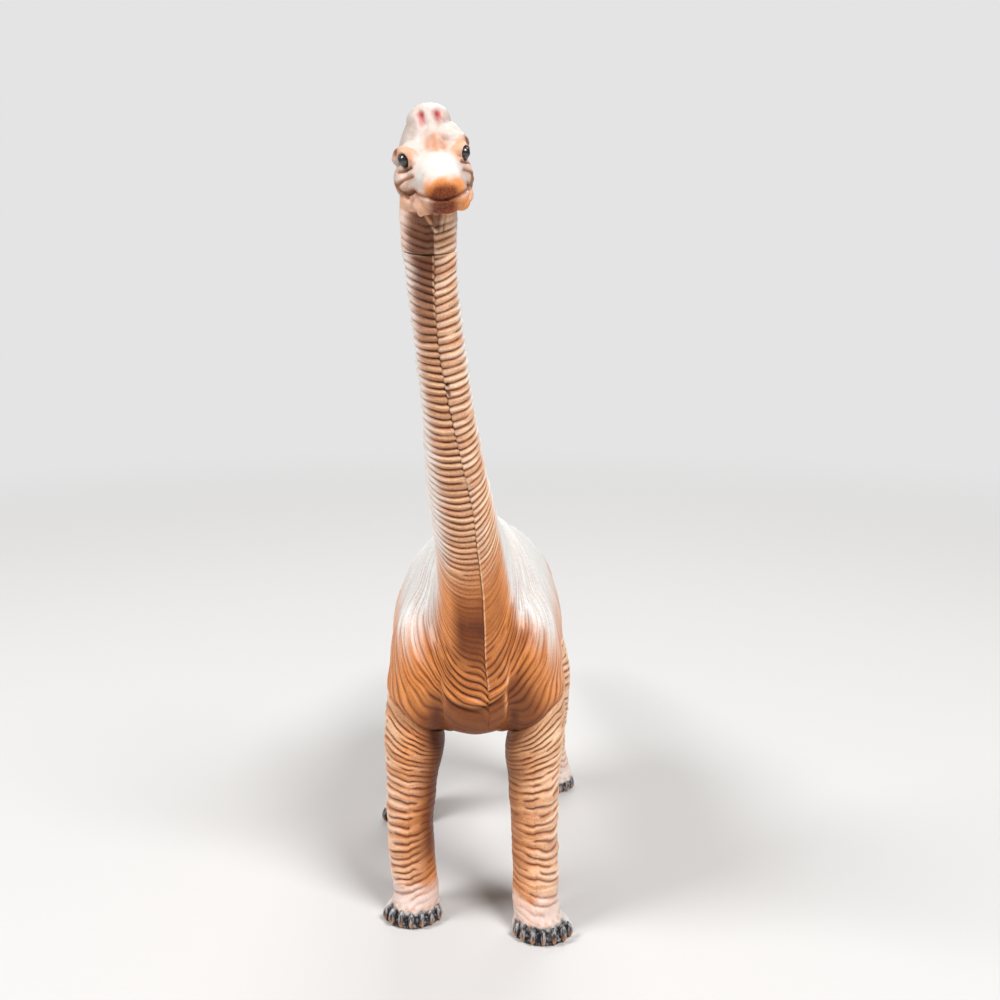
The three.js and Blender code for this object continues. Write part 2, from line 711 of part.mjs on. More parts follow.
function makeTail() {
  const axis = smoothCurve(fromShares(tailShares, (row) => new THREE.Vector3(
    row.swing * tailSwing,
    playGap + row.along * tailLength,
    -row.drop * tailDrop,
  )));
  const girth = smoothCurve(fromShares(tailShares, (row) => (
    new THREE.Vector3(row.girth * tailRadius, 0, 0)
  )));
  const folds = Math.round(tailLength / tailFoldPitch) * 2;
  const rings = [];
  for (let k = 0; k <= folds; k += 1) {
    const share = k / folds;
    const centre = axis.getPoint(share);
    const forward = k === 0 ? new THREE.Vector3(0, 1, 0) : axis.getTangent(share);
    const turn = new THREE.Quaternion().setFromUnitVectors(new THREE.Vector3(0, 1, 0), forward);
    const fade = Math.sin(Math.PI * Math.sqrt(share));
    const lift = (k % 2 ? -1 : 1) * tailFoldRelief * fade;
    const radius = girth.getPoint(share).x + lift;
    rings.push(Array.from({ length: tailSides }, (_, n) => {
      const angle = (n / tailSides) * 2 * Math.PI;
      const point = new THREE.Vector3(Math.sin(angle) * radius, 0, Math.cos(angle) * radius);
      return point.applyQuaternion(turn).add(centre);
    }));
  }
  const plug = plugShape(tailPlugRadius, tailPlugLength, 0).rotateX(Math.PI / 2);
  plug.translate(0, playGap, 0);
  return solidOf(loftRings(rings)).add(solidOf(plug));
}

// Body halves

const locators = locatorPlaces.map((place) => bodySection(place));

// A bar across the figure through a section's middle, between two distances from the midplane
function crossBar(section, side, radius, from, to) {
  const bar = roundBar(radius, from, to, plugSides).rotateY(side * Math.PI / 2);
  return solidOf(bar.translate(0, section.centre.y, section.centre.z));
}

function bodyHalf(side) {
  const sideLegs = legs.filter((leg) => leg.side === side);
  let half = solidOf(bodySkin(side));
  for (const leg of sideLegs) {
    half = half.add(solidOf(seamMass(leg.kind, side)));
  }
  half = half.subtract(solidOf(bodyHollow(side)));
  for (const leg of sideLegs) {
    const { kind } = leg;
    const face = roundBar(kind.radius * socketShare, 0, shellWall, massSides);
    const bossRadius = kind.plugRadius + collarRise + shellWall;
    const boss = roundBar(bossRadius, 0, kind.plugLength + shellWall, plugSides);
    half = half.add(solidOf(face.applyMatrix4(seamMatrix(leg))));
    half = half.add(solidOf(boss.applyMatrix4(seamMatrix(leg))));
  }
  for (const section of locators) {
    const reach = section.halfWidth - shellWall / 2;
    half = half.add(crossBar(section, side, locatorRadius + locatorWall, seamLine, reach));
    half = side > 0
      ? half.subtract(crossBar(section, side, locatorRadius + playGap, 0, locatorReach + playGap))
      : half.add(crossBar(section, -side, locatorRadius, -locatorReach, locatorReach));
  }
  for (const leg of sideLegs) {
    const frame = seamMatrix(leg);
    const room = roundBar(leg.kind.radius * socketShare, -cutOverrun, 0, massSides);
    half = half.subtract(solidOf(room.applyMatrix4(frame)));
    const bore = plugShape(leg.kind.plugRadius, leg.kind.plugLength, playGap);
    half = half.subtract(solidOf(bore.applyMatrix4(frame)));
  }
  const headBore = plugShape(headPlugRadius, headPlugLength, playGap).rotateX(Math.PI);
  headBore.applyQuaternion(neckTurn).translate(...neckEnd.centre.toArray());
  const tailBore = plugShape(tailPlugRadius, tailPlugLength, playGap).rotateX(Math.PI / 2);
  tailBore.translate(...rump.centre.toArray());
  return half.subtract(solidOf(headBore)).subtract(solidOf(tailBore));
}

// Materials and assembly

function plastic(color, roughness) {
  return new THREE.MeshStandardMaterial({ color, roughness, metalness: 0 });
}

function piece(name, geometry, material) {
  const mesh = new THREE.Mesh(geometry, material);
  mesh.name = name;
  return mesh;
}

const figure = new THREE.Group();
const skinPlastic = () => plastic('#c98a60', 0.5);

figure.add(piece('body_left_shell', geometryOf(bodyHalf(1)), skinPlastic()));
figure.add(piece('body_right_shell', geometryOf(bodyHalf(-1)), skinPlastic()));

const head = new THREE.Group();
head.position.copy(neckEnd.centre);
head.add(piece('head', geometryOf(makeHead()), plastic('#dcc3b3', 0.5)));
for (const side of [1, -1]) {
  const bead = new THREE.SphereGeometry(eyeRadius, beadSides, beadSides / 2);
  const name = side > 0 ? 'left_eye' : 'right_eye';
  const eye = piece(name, geometryOf(solidOf(bead)), plastic('#0d0b0b', 0.08));
  eye.position.set(...skullPlace(side, eyeShares)).applyMatrix4(skullMatrix).sub(neckEnd.centre);
  head.add(eye);
}
figure.add(head);

for (const leg of legs) {
  const mesh = piece(leg.name, geometryOf(makeLeg(leg)), skinPlastic());
  mesh.position.set(leg.side * leg.kind.aside, leg.kind.behind, leg.kind.height);
  figure.add(mesh);
}

const tail = piece('tail', geometryOf(makeTail()), plastic('#b99680', 0.5));
tail.position.copy(rump.centre);
figure.add(tail);

// The origin is the middle of the footprint of the whole figure, on the ground
const object = new THREE.Group();
object.add(figure);
const extent = new THREE.Box3().setFromObject(figure);
const middle = extent.getCenter(new THREE.Vector3());
figure.position.set(-middle.x, -middle.y, -extent.min.z);

export default object;
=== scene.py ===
import json
import math

import bpy
import numpy as np
from mathutils import Matrix, Vector


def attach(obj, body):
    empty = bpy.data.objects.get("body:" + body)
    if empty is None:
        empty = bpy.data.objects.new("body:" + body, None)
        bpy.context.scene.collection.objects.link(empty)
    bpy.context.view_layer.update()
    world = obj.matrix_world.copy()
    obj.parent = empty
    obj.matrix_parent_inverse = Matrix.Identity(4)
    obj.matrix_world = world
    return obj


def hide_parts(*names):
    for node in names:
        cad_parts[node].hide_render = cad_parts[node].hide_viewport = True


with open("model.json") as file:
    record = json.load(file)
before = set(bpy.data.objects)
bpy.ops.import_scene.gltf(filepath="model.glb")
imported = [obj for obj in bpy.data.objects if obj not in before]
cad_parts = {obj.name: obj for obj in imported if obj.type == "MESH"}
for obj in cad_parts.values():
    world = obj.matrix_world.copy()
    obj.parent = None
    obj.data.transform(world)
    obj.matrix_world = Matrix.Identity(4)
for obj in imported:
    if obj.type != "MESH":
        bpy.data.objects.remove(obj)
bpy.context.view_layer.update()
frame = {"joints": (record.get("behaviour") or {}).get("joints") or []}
print("frame loaded")

# A long-necked dinosaur figure moulded in soft plastic and painted by hand. Shape values are
# millimetres in the frame of the body's outline: X to the figure's left, Y back, Z up.

mm = 0.001
jointOf = {joint["child"]: joint for joint in frame["joints"]}


def linearColour(text):  # sRGB hex to the linear values that the shader works in
    parts = [int(text[i:i + 2], 16) / 255 for i in (1, 3, 5)]
    return [c / 12.92 if c <= 0.04045 else ((c + 0.055) / 1.055) ** 2.4 for c in parts] + [1.0]


def addNode(tree, kind, settings=None, inputs=None):  # an input is a value or a socket to link from
    node = tree.nodes.new(kind)
    for key, value in (settings or {}).items():
        setattr(node, key, value)
    for key, value in (inputs or {}).items():
        socket = node.inputs[key]
        if isinstance(value, bpy.types.NodeSocket):
            tree.links.new(value, socket)
        elif isinstance(value, str) and value.startswith("#"):
            socket.default_value = linearColour(value)
        else:
            socket.default_value = value
    return node


# Each row is a name, an operation and the inputs, which may be the names of earlier results.
def addNodes(tree, made, kind, rows, **shared):
    for name, operation, *inputs in rows:
        made[name] = addNode(tree, kind, {"operation": operation, **shared}, {
            key: made.get(value, value) for key, value in enumerate(inputs)}).outputs[0]


def smoothStep(value, low, high):
    share = np.clip((np.asarray(value, float) - low) / (high - low), 0, 1)
    return share * share * (3 - 2 * share)


def bump(value, middle, width):
    return np.exp(-((np.asarray(value, float) - middle) / width) ** 2)


def splineAt(points, shares):  # a smooth curve through rows of values, read at shares of its length
    points = np.asarray(points, float)
    padded = np.vstack([2 * points[0] - points[1], points, 2 * points[-1] - points[-2]])
    place = np.clip(np.asarray(shares, float), 0, 1) * (len(points) - 1)
    index = np.minimum(place.astype(int), len(points) - 2)
    t = (place - index)[:, None]
    p0, p1, p2, p3 = (padded[index + k] for k in range(4))
    m1, m2 = (p2 - p0) / 2, (p3 - p1) / 2
    return (
        p1 * (2 * t**3 - 3 * t**2 + 1) + m1 * (t**3 - 2 * t**2 + t)
        + p2 * (3 * t**2 - 2 * t**3) + m2 * (t**3 - t**2)
    )


def wave(points, size, seed, count=6):  # a smooth field between -1 and 1 from a few sine waves
    rng = np.random.default_rng(seed)
    total = np.zeros(points.shape[:-1])
    for _ in range(count):
        direction = rng.normal(size=3)
        direction *= rng.uniform(0.7, 1.4) / np.linalg.norm(direction)
        total += np.sin(points @ direction * 2 * math.pi / size + rng.uniform(0, 2 * math.pi))
    return total / math.sqrt(count * 2)


def unit(vectors):
    return vectors / np.maximum(np.linalg.norm(vectors, axis=-1, keepdims=True), 1e-9)


def gridNormals(grid, closeRing=True):  # outward from each ring's middle
    along = np.gradient(grid, axis=0)
    if closeRing:
        around = (np.roll(grid, -1, 1) - np.roll(grid, 1, 1)) / 2
    else:
        around = np.gradient(grid, axis=1)
    normals = unit(np.cross(along, around))
    outward = grid - grid.mean(1, keepdims=True)
    if (normals * outward).sum() < 0:
        normals = -normals
    return normals


def meshObject(name, points, polygons, attributes):
    mesh = bpy.data.meshes.new(name)
    mesh.from_pydata(((np.asarray(points) + figureShift) * mm).tolist(), [], polygons)
    for key, values in attributes.items():
        layer = mesh.attributes.new(key, "FLOAT", "POINT")
        layer.data.foreach_set("value", np.asarray(values, np.float32))
    mesh.shade_smooth()
    piece = bpy.data.objects.new(name, mesh)
    bpy.context.scene.collection.objects.link(piece)
    return piece


def gridMesh(name, grid, attributes):  # rings of points closed into a skin, with both ends capped
    rows, columns = grid.shape[:2]
    points = np.vstack([grid.reshape(-1, 3), grid[0].mean(0), grid[-1].mean(0)])
    values = {}
    for key, value in attributes.items():
        full = np.broadcast_to(np.asarray(value, float), (rows, columns))
        values[key] = np.append(full.ravel(), [full[0].mean(), full[-1].mean()])
    r, c = np.meshgrid(np.arange(rows - 1), np.arange(columns), indexing="ij")
    a, b = (r * columns + c).ravel(), (r * columns + (c + 1) % columns).ravel()
    faces = np.stack([a, b, b + columns, a + columns], 1)
    ring = np.arange(columns)
    after = (ring + 1) % columns
    last = (rows - 1) * columns
    caps = [np.stack([after, ring, np.full(columns, rows * columns)], 1),
            np.stack([last + ring, last + after, np.full(columns, rows * columns + 1)], 1)]
    corners = np.vstack([faces[:, [0, 1, 2]], faces[:, [0, 2, 3]], *caps])
    p0, p1, p2 = (points[corners[:, k]] for k in range(3))
    inside = (p0 * np.cross(p1, p2)).sum() < 0
    polygons = [*faces.tolist(), *caps[0].tolist(), *caps[1].tolist()]
    if inside:
        polygons = [face[::-1] for face in polygons]
    return meshObject(name, points, polygons, values)


def newTree(name, sizes):  # a geometry tree with a mesh going in and out, and named sizes
    tree = bpy.data.node_groups.new(name, "GeometryNodeTree")
    tree.interface.new_socket("Geometry", in_out="INPUT", socket_type="NodeSocketGeometry")
    tree.interface.new_socket("Geometry", in_out="OUTPUT", socket_type="NodeSocketGeometry")
    for key, value in sizes.items():
        socket = tree.interface.new_socket(key, in_out="INPUT", socket_type="NodeSocketFloat")
        socket.default_value = value
    tree.interface.new_socket("Material", in_out="INPUT", socket_type="NodeSocketMaterial")
    return tree, addNode(tree, "NodeGroupInput").outputs


def endTree(tree, geometry, material):
    real = addNode(tree, "GeometryNodeRealizeInstances", inputs={0: geometry})
    painted = addNode(tree, "GeometryNodeSetMaterial", inputs={0: real.outputs[0], 2: material})
    addNode(tree, "NodeGroupOutput", inputs={0: painted.outputs[0]})


def runTree(piece, tree, values):  # puts the tree's result in the piece's mesh
    modifier = piece.modifiers.new(tree.name, "NODES")
    modifier.node_group = tree
    for item in tree.interface.items_tree:
        if item.item_type == "SOCKET" and item.in_out == "INPUT" and item.name in values:
            modifier[item.identifier] = values[item.name]
    depsgraph = bpy.context.evaluated_depsgraph_get()
    result = bpy.data.meshes.new_from_object(
        piece.evaluated_get(depsgraph), preserve_all_data_layers=True, depsgraph=depsgraph)
    piece.modifiers.remove(modifier)
    old, piece.data = piece.data, result
    bpy.data.meshes.remove(old)
    result.name = piece.name


# The camera stands where the photograph's did, close to the figure and a little above its chest.
cameraView = {"x": 9.03, "y": -477.24, "z": 240.0, "down": 10.65, "lens": 38.3}
cameraData = bpy.data.cameras.new("frontCamera")
cameraData.lens = cameraView["lens"]
cameraData.clip_start = 0.02
camera = bpy.data.objects.new("frontCamera", cameraData)
camera.location = [cameraView[axis] * mm for axis in "xyz"]
camera.rotation_euler = (math.radians(90 - cameraView["down"]), 0, 0)
bpy.context.scene.collection.objects.link(camera)
bpy.context.scene.camera = camera

# Body outline

bodyShape = {
    "trunkLength": 128, "withersHeight": 160, "trunkHalfWidth": 35,
    "neckRise": 98, "neckReach": 35, "neckLean": 13.3, "neckRadius": 8.7, "neckEndTilt": 15.7,
    "rumpHeight": 117, "tailRadius": 13.5, "seamGap": 0.02,
    # back line, belly line, half width, then how much lower than its middle a section is widest
    "trunk": [
        (0.935, 0.856, 0.94, 0.618, 0.6, 0), (0.82, 0.888, 0.83, 0.592, 0.79, 0.04),
        (0.656, 0.92, 0.656, 0.56, 0.915, 0.18), (0.492, 0.953, 0.477, 0.531, 0.945, 0.29),
        (0.367, 0.981, 0.313, 0.519, 0.935, 0.29), (0.297, 0.997, 0.188, 0.516, 0.895, 0.29),
        (0.258, 1.003, 0.086, 0.516, 0.81, 0.25), (0.234, 1.006, 0.0, 0.528, 0.73, 0.16),
        (0.219, 1.011, -0.063, 0.572, 0.59, 0.1), (0.203, 1.017, -0.094, 0.638, 0.47, 0.05),
    ],
    # back line, belly line, half width, sideways lean
    "neck": [
        (-0.677, 0.044, 0.386, -0.469, 1.61, 0.03), (-0.594, 0.071, 0.394, -0.337, 1.46, 0.09),
        (-0.486, 0.112, 0.409, -0.194, 1.36, 0.18), (-0.357, 0.173, 0.446, -0.041, 1.29, 0.31),
        (-0.223, 0.265, 0.523, 0.128, 1.2, 0.45), (-0.071, 0.393, 0.617, 0.311, 1.07, 0.57),
        (0.086, 0.541, 0.723, 0.485, 0.98, 0.68), (0.229, 0.704, 0.829, 0.653, 0.95, 0.81),
        (0.363, 0.862, 0.929, 0.816, 0.93, 0.93),
    ],
    "neckEnd": (0.735, 0.975),
}
# each leg's round seam, then the muscle over it: its half sizes in radii, and how far in and up
sockets = {
    "front": {"radius": 12.9, "height": 87, "aside": 22.8, "back": 14, "tilt": 35.5,
              "halves": (0.86, 1.3, 2.0), "inward": 0.13, "up": 1.35},
    "rear": {"radius": 16, "height": 99, "aside": 22.5, "back": 104, "tilt": 55,
             "halves": (0.84, 1.36, 1.28), "inward": 0.22, "up": 0.62},
}
leftJoint, rightJoint = (jointOf[f"front_{side}_leg"]["pos_m"] for side in ("left", "right"))
figureShift = np.array([
    (leftJoint[0] + rightJoint[0]) / 2 / mm, leftJoint[1] / mm - sockets["front"]["back"], 0])


def bodyRows(shape):
    length, withers, wide = shape["trunkLength"], shape["withersHeight"], shape["trunkHalfWidth"]
    reach, rise, radius = shape["neckReach"], shape["neckRise"], shape["neckRadius"]
    rump, tail, tilt = shape["rumpHeight"], shape["tailRadius"], math.radians(shape["neckEndTilt"])
    rows = [(0, length, rump + tail, 0, length, rump - tail, tail, 0)]
    for backY, backZ, bellyY, bellyZ, width, egg in shape["trunk"]:
        rows.append((0, backY * length, backZ * withers, 0, bellyY * length, bellyZ * withers,
                     width * wide, egg))
    for backY, backZ, bellyY, bellyZ, width, lean in shape["neck"]:
        aside = -lean * shape["neckLean"]
        rows.append((aside, -backY * reach, withers + backZ * rise,
                     aside, -bellyY * reach, withers + bellyZ * rise, width * radius, 0))
    ahead, up = shape["neckEnd"][0] * reach, withers + shape["neckEnd"][1] * rise
    dy, dz = radius * math.cos(tilt), radius * math.sin(tilt)
    rows.append((-shape["neckLean"], -ahead + dy, up + dz, -shape["neckLean"], -ahead - dy, up - dz,
                 radius, 0))
    return np.array(rows, float)


outline = bodyRows(bodyShape)
lastPlace = len(outline) - 1
chestPlace, neckPlace = 7, 11  # rows where the chest's folds begin and where the neck begins


def bodySections(places):
    values = splineAt(outline, np.asarray(places, float) / lastPlace)
    back, belly, width, egg = values[:, :3], values[:, 3:6], values[:, 6], values[:, 7]
    up = back - belly
    half = np.linalg.norm(up, axis=1) / 2
    return (back + belly) / 2, unit(up), half, width, egg


def bodyGrid(places, angles):  # angle 0 is the back line and pi the belly line
    centre, up, half, width, egg = bodySections(places)
    angles = np.atleast_2d(angles)
    along = np.cos(angles) * half[:, None]
    bulge = 1 - egg[:, None] * np.cos(angles)
    across = np.sin(angles) * bulge * width[:, None]
    grid = centre[:, None, :] + along[..., None] * up[:, None, :]
    grid[..., 0] += across
    return grid


def evenPlaces(start, end, spacing):  # places whose points stand this far apart on the belly line
    fine = np.linspace(start, end, 4000)
    half = bodyGrid(fine, np.array([math.pi / 2, math.pi]))
    walked = np.linalg.norm(np.diff(half, axis=0), axis=2).max(1)
    total = np.concatenate([[0], np.cumsum(walked)])
    count = int(total[-1] / spacing)
    return np.interp(np.linspace(0, total[-1], count), total, fine)


def seamPlane(kind, side):  # the leg's seam: its middle and its outward axis
    tilt = math.radians(kind["tilt"])
    middle = np.array([side * kind["aside"], kind["back"], kind["height"]], float)
    return middle, np.array([side * math.sin(tilt), 0, -math.cos(tilt)])


def ellipsoidGap(points, middle, halves):  # roughly the distance outside an ellipsoid
    q = points - middle
    near = np.linalg.norm(q / halves, axis=-1)
    far = np.linalg.norm(q / halves**2, axis=-1)
    return near * (near - 1) / np.maximum(far, 1e-9)


def blendMasses(grid, normals, side, softness):  # shoulder and hip swell out of the trunk
    lift = np.zeros(grid.shape[:2])
    for _ in range(16):
        points = grid + normals * lift[..., None]
        gap = lift.copy()
        for kind in sockets.values():
            middle = np.array([side * (kind["aside"] - kind["inward"] * kind["radius"]),
                               kind["back"], kind["height"] + kind["up"] * kind["radius"]])
            mass = ellipsoidGap(points, middle, np.array(kind["halves"]) * kind["radius"])
            near = np.maximum(softness - np.abs(gap - mass), 0) / softness
            gap = np.minimum(gap, mass) - near**2 * softness / 4
        lift = np.maximum(lift - gap * 0.8, 0)
    return grid + normals * lift[..., None]


def seatLegs(grid, side):  # the skin lies flat on each leg's seam and flares round it
    for kind in sockets.values():
        middle, axis = seamPlane(kind, side)
        rel = grid - middle
        out = rel @ axis
        radius = np.linalg.norm(rel - out[..., None] * axis, axis=-1)
        size = kind["radius"]
        flare = smoothStep(radius, size, 1.45 * size)
        flare = np.maximum(flare, smoothStep(-out, 0.75 * size, 1.5 * size))
        seated = np.where(out < 0, out * flare, out * smoothStep(radius, 1.03 * size, 1.09 * size))
        grid = grid + (seated - out)[..., None] * axis
    return grid


bodyFolds = {
    "rowSpacing": 0.34, "columns": 96, "edgeCrowding": 0.7, "seamColumns": 3,
    # place on the body, then the pitch and the depth of its folds on the front and on the flank
    "rows": [
        (0, 1.8, 0.16, 0.16), (6.5, 1.8, 0.18, 0.2), (8.6, 2.2, 0.12, 0.34), (9.4, 2.6, 0.4, 0.42),
        (9.9, 3.0, 0.95, 0.5), (10.8, 3.0, 0.85, 0.42), (11.4, 2.2, 0.3, 0.24),
        (12.2, 1.75, 0.12, 0.16), (13.2, 1.85, 0.26, 0.2), (14.0, 2.25, 0.62, 0.55),
        (15.0, 2.5, 0.85, 0.9), (17.0, 2.6, 0.95, 1.15), (19.0, 2.5, 0.85, 1.0),
        (20, 2.3, 0.6, 0.7),
    ],
    "slip": 0.37, "massSoftness": 7, "edgeRound": 0.08, "edgeWidth": 0.3,
    # place on the body, then how far the front seam turns towards the figure's left, in radians
    "seamTurn": [
        (0, 0), (7.5, 0), (9.2, 0.22), (10, 0.28), (11, 0.29), (12, 0.37), (13, 0.43), (14, 0.47),
        (14.6, 0.53), (15, 0.51), (16, 0.34), (17, 0.13), (18, 0.03), (19, 0.13), (20, 0.245),
    ],
    "turnSmoothing": 25,
    # by how many folds the lines rise outward, and where: amounts on the figure's left and right,
    # then the two ends of a step or the middle and width of a bump
    "rise": ((0.3, -0.1), (14.5, 16.5)), "riseAbove": ((0.45, 1.0), (17.8, 19.4)),
    "riseBelow": (0.5, (13.8, 1.3)),
    # how far the swags hang in the middle: amount, middle and width, for the left and the right
    "swags": ([(-0.5, 12.2, 1.6)], [(1.7, 11.2, 2.0), (0.9, 9.5, 1.1)]), "swagSpread": (0.35, 0.16),
    # where the folds deepen and ease off, and how often they break
    "frontShare": (0.55, 0.9), "lowFlank": (118, 96), "lowFlankGain": 0.5,
    "closestSpacing": (0.25, 1.5), "rumpFade": (0.15, 0.8), "endFade": 0.12,
    "neckEase": (0.13, 0), "sideEase": 0.4, "sideHeight": (98, 114),
    "breakShare": 0.36, "neckBreaks": 0.12, "flankBreaks": 0.03,
}

# Small forms in millimetres, with where they are: a pair is the middle and width of a bump or the
# two ends of a step, along the body ("At"), sideways ("Across"), to the front or in height.
bodyRelief = {
    "flashRise": 0.3, "flashAcross": (0.32, 0.3), "flashStart": (9.9, 10.2),
    "flashStop": (13.8, 14.4), "flashAbove": (18.3, 18.8), "flashAboveShare": 0.8,
    "flashCover": 0.75,
    "lipRise": 0.7, "lipFront": (0.9, 0.97), "lipAt": (9.75, 0.13), "lipGrooveAt": (9.5, 0.13),
    "cornerRise": 0.8, "cornerAcross": (9.5, 2.2), "cornerAt": (9.9, 0.5), "cornerShare": (1, 0.4),
    "pitDepth": 0.9, "pitsAt": (17.32, 17.14), "pitLength": 0.045, "pitAside": 0.8, "pitWidth": 0.5,
    "uneven": 0.2, "unevenSize": 17, "unevenSeed": 61, "unevenFrom": (0.5, 6),
    "brisketRise": 2.4, "brisketAt": (8.5, 1.0), "brisketAcross": (-12.5, -9),
    "brisketFront": (0.6, 0.8), "brisketBelow": (-9.6, -9.2), "brisketSmooth": 0.85,
    "rimRise": 0.5, "rimAcross": (10.6, 0.7), "rimAt": (9.3, 0.75), "rimShare": (1, 0.3),
    "moatDepth": 0.7, "moatAcross": (12.8, 0.9),
    "flankHollow": 1.5, "flankHeight": (86, 9), "flankAcross": (24, 30),
    "armpitHollow": 1.0, "armpitAcross": (13.5, 2.6), "armpitHeight": (84, 9),
}

# Where the paint lies on the body, in the same kinds of pairs; pairs of amounts are for the
# figure's left and right. Throat, chest, brisket, belly and armpit shades are painted shade, and
# the flash and rim highlights are painted highlights.
bodyPaint = {
    "drift": [(26, 3, 4), (9, 4, 1.5)],  # size, seed and millimetres that an edge wanders
    "paleHeight": (80, 114), "paleUp": (26, 6), "paleFront": 10, "fullHeight": (108, 128),
    "broad": (0.84, 0.97), "broadCover": (0.5, 0.62), "broadBelow": (-142, -112),
    "paleStops": ((0.6, 0.84), (0.46, 0.77)),
    "throatAt": (11.9, 1.5), "throatFront": (0.78, 0.93), "throatShade": (0.55, 1.0),
    "chestAt": (10.5, 0.9), "chestFront": (0.7, 0.9), "chestShade": 0.45,
    "brisketBelow": (-9.8, -9.4), "brisketFront": (0.8, 0.92), "brisketHeight": (-88, -80),
    "brisketShade": 0.88, "bellyAt": (-7.2, -6), "bellyHeight": (-92, -80), "bellyShade": 0.75,
    "armpitAcross": (14.5, 5.0), "armpitHeight": (-105, -90),
    "blueHeight": (96, 120), "neckBlue": 0.35,
    "bodyPeach": 0.1, "flashHighlight": 0.5, "rimHighlight": 0.35,
    "twinFrom": (8.2, 9.0), "twinTo": (-11.6, -10.8), "twinFront": 0.12,
}


def foldRow(places, column):
    rows = np.array(bodyFolds["rows"], float)
    return np.interp(places, rows[:, 0], rows[:, column])


def foldCycles(places):  # how many folds lie below each place, counted along the flank and belly
    fine = np.linspace(0, lastPlace, 6000)
    grid = bodyGrid(fine, np.array([math.pi / 2, math.pi]))
    step = np.linalg.norm(np.diff(grid, axis=0), axis=2)
    middle = (fine[1:] + fine[:-1]) / 2
    onChest = smoothStep(middle, chestPlace - 2, chestPlace + 1)
    travel = step[:, 0] * (1 - onChest) + step[:, 1] * onChest
    return np.interp(places, fine, np.concatenate([[0], np.cumsum(travel / foldRow(middle, 1))]))


def neckPaint(front, side, share):  # side of the figure, and how far up the neck
    # on the figure's right (side below 0) the neck is browner, less pale and less dry-brushed:
    # partly brown paint, partly painted shade on the side away from the light
    leftBrown = smoothStep(front + 0.05 * (1 - share), 0.7, 0.93)
    leftBrown = leftBrown * (0.25 + 0.67 * smoothStep(share, 0.72, 0.95))
    leftBrown = np.maximum(leftBrown, 0.25 * smoothStep(front, 0.92, 1.0))
    rightBrown = smoothStep(front, 0.95, 1.0) * 0.2
    leftPale = smoothStep(0.97 - front, 0, 0.26)
    rightPale = 0.14 + 0.86 * smoothStep(0.86 - front, 0, 0.3)
    left = np.asarray(side) < 0
    brown, pale = np.where(left, leftBrown, rightBrown), np.where(left, leftPale, rightPale)
    return brown, pale, np.where(left, 0.85, 1.0)


def halfNormals(grid):  # of half a skin, whose back edge lies on the middle plane
    normals = gridNormals(grid, False)
    normals[:, 0, 0] = 0
    return unit(normals)


def seamFade(grid, depth, side):  # no folds on the flat of a leg's seam
    for kind in sockets.values():
        middle, axis = seamPlane(kind, side)
        rel = grid - middle
        out = rel @ axis
        radius = np.linalg.norm(rel - out[..., None] * axis, axis=-1)
        seat = smoothStep(radius, kind["radius"] * 1.0, kind["radius"] * 1.12)
        depth = depth * np.where(np.abs(out) < 3, seat, 1)
    return depth


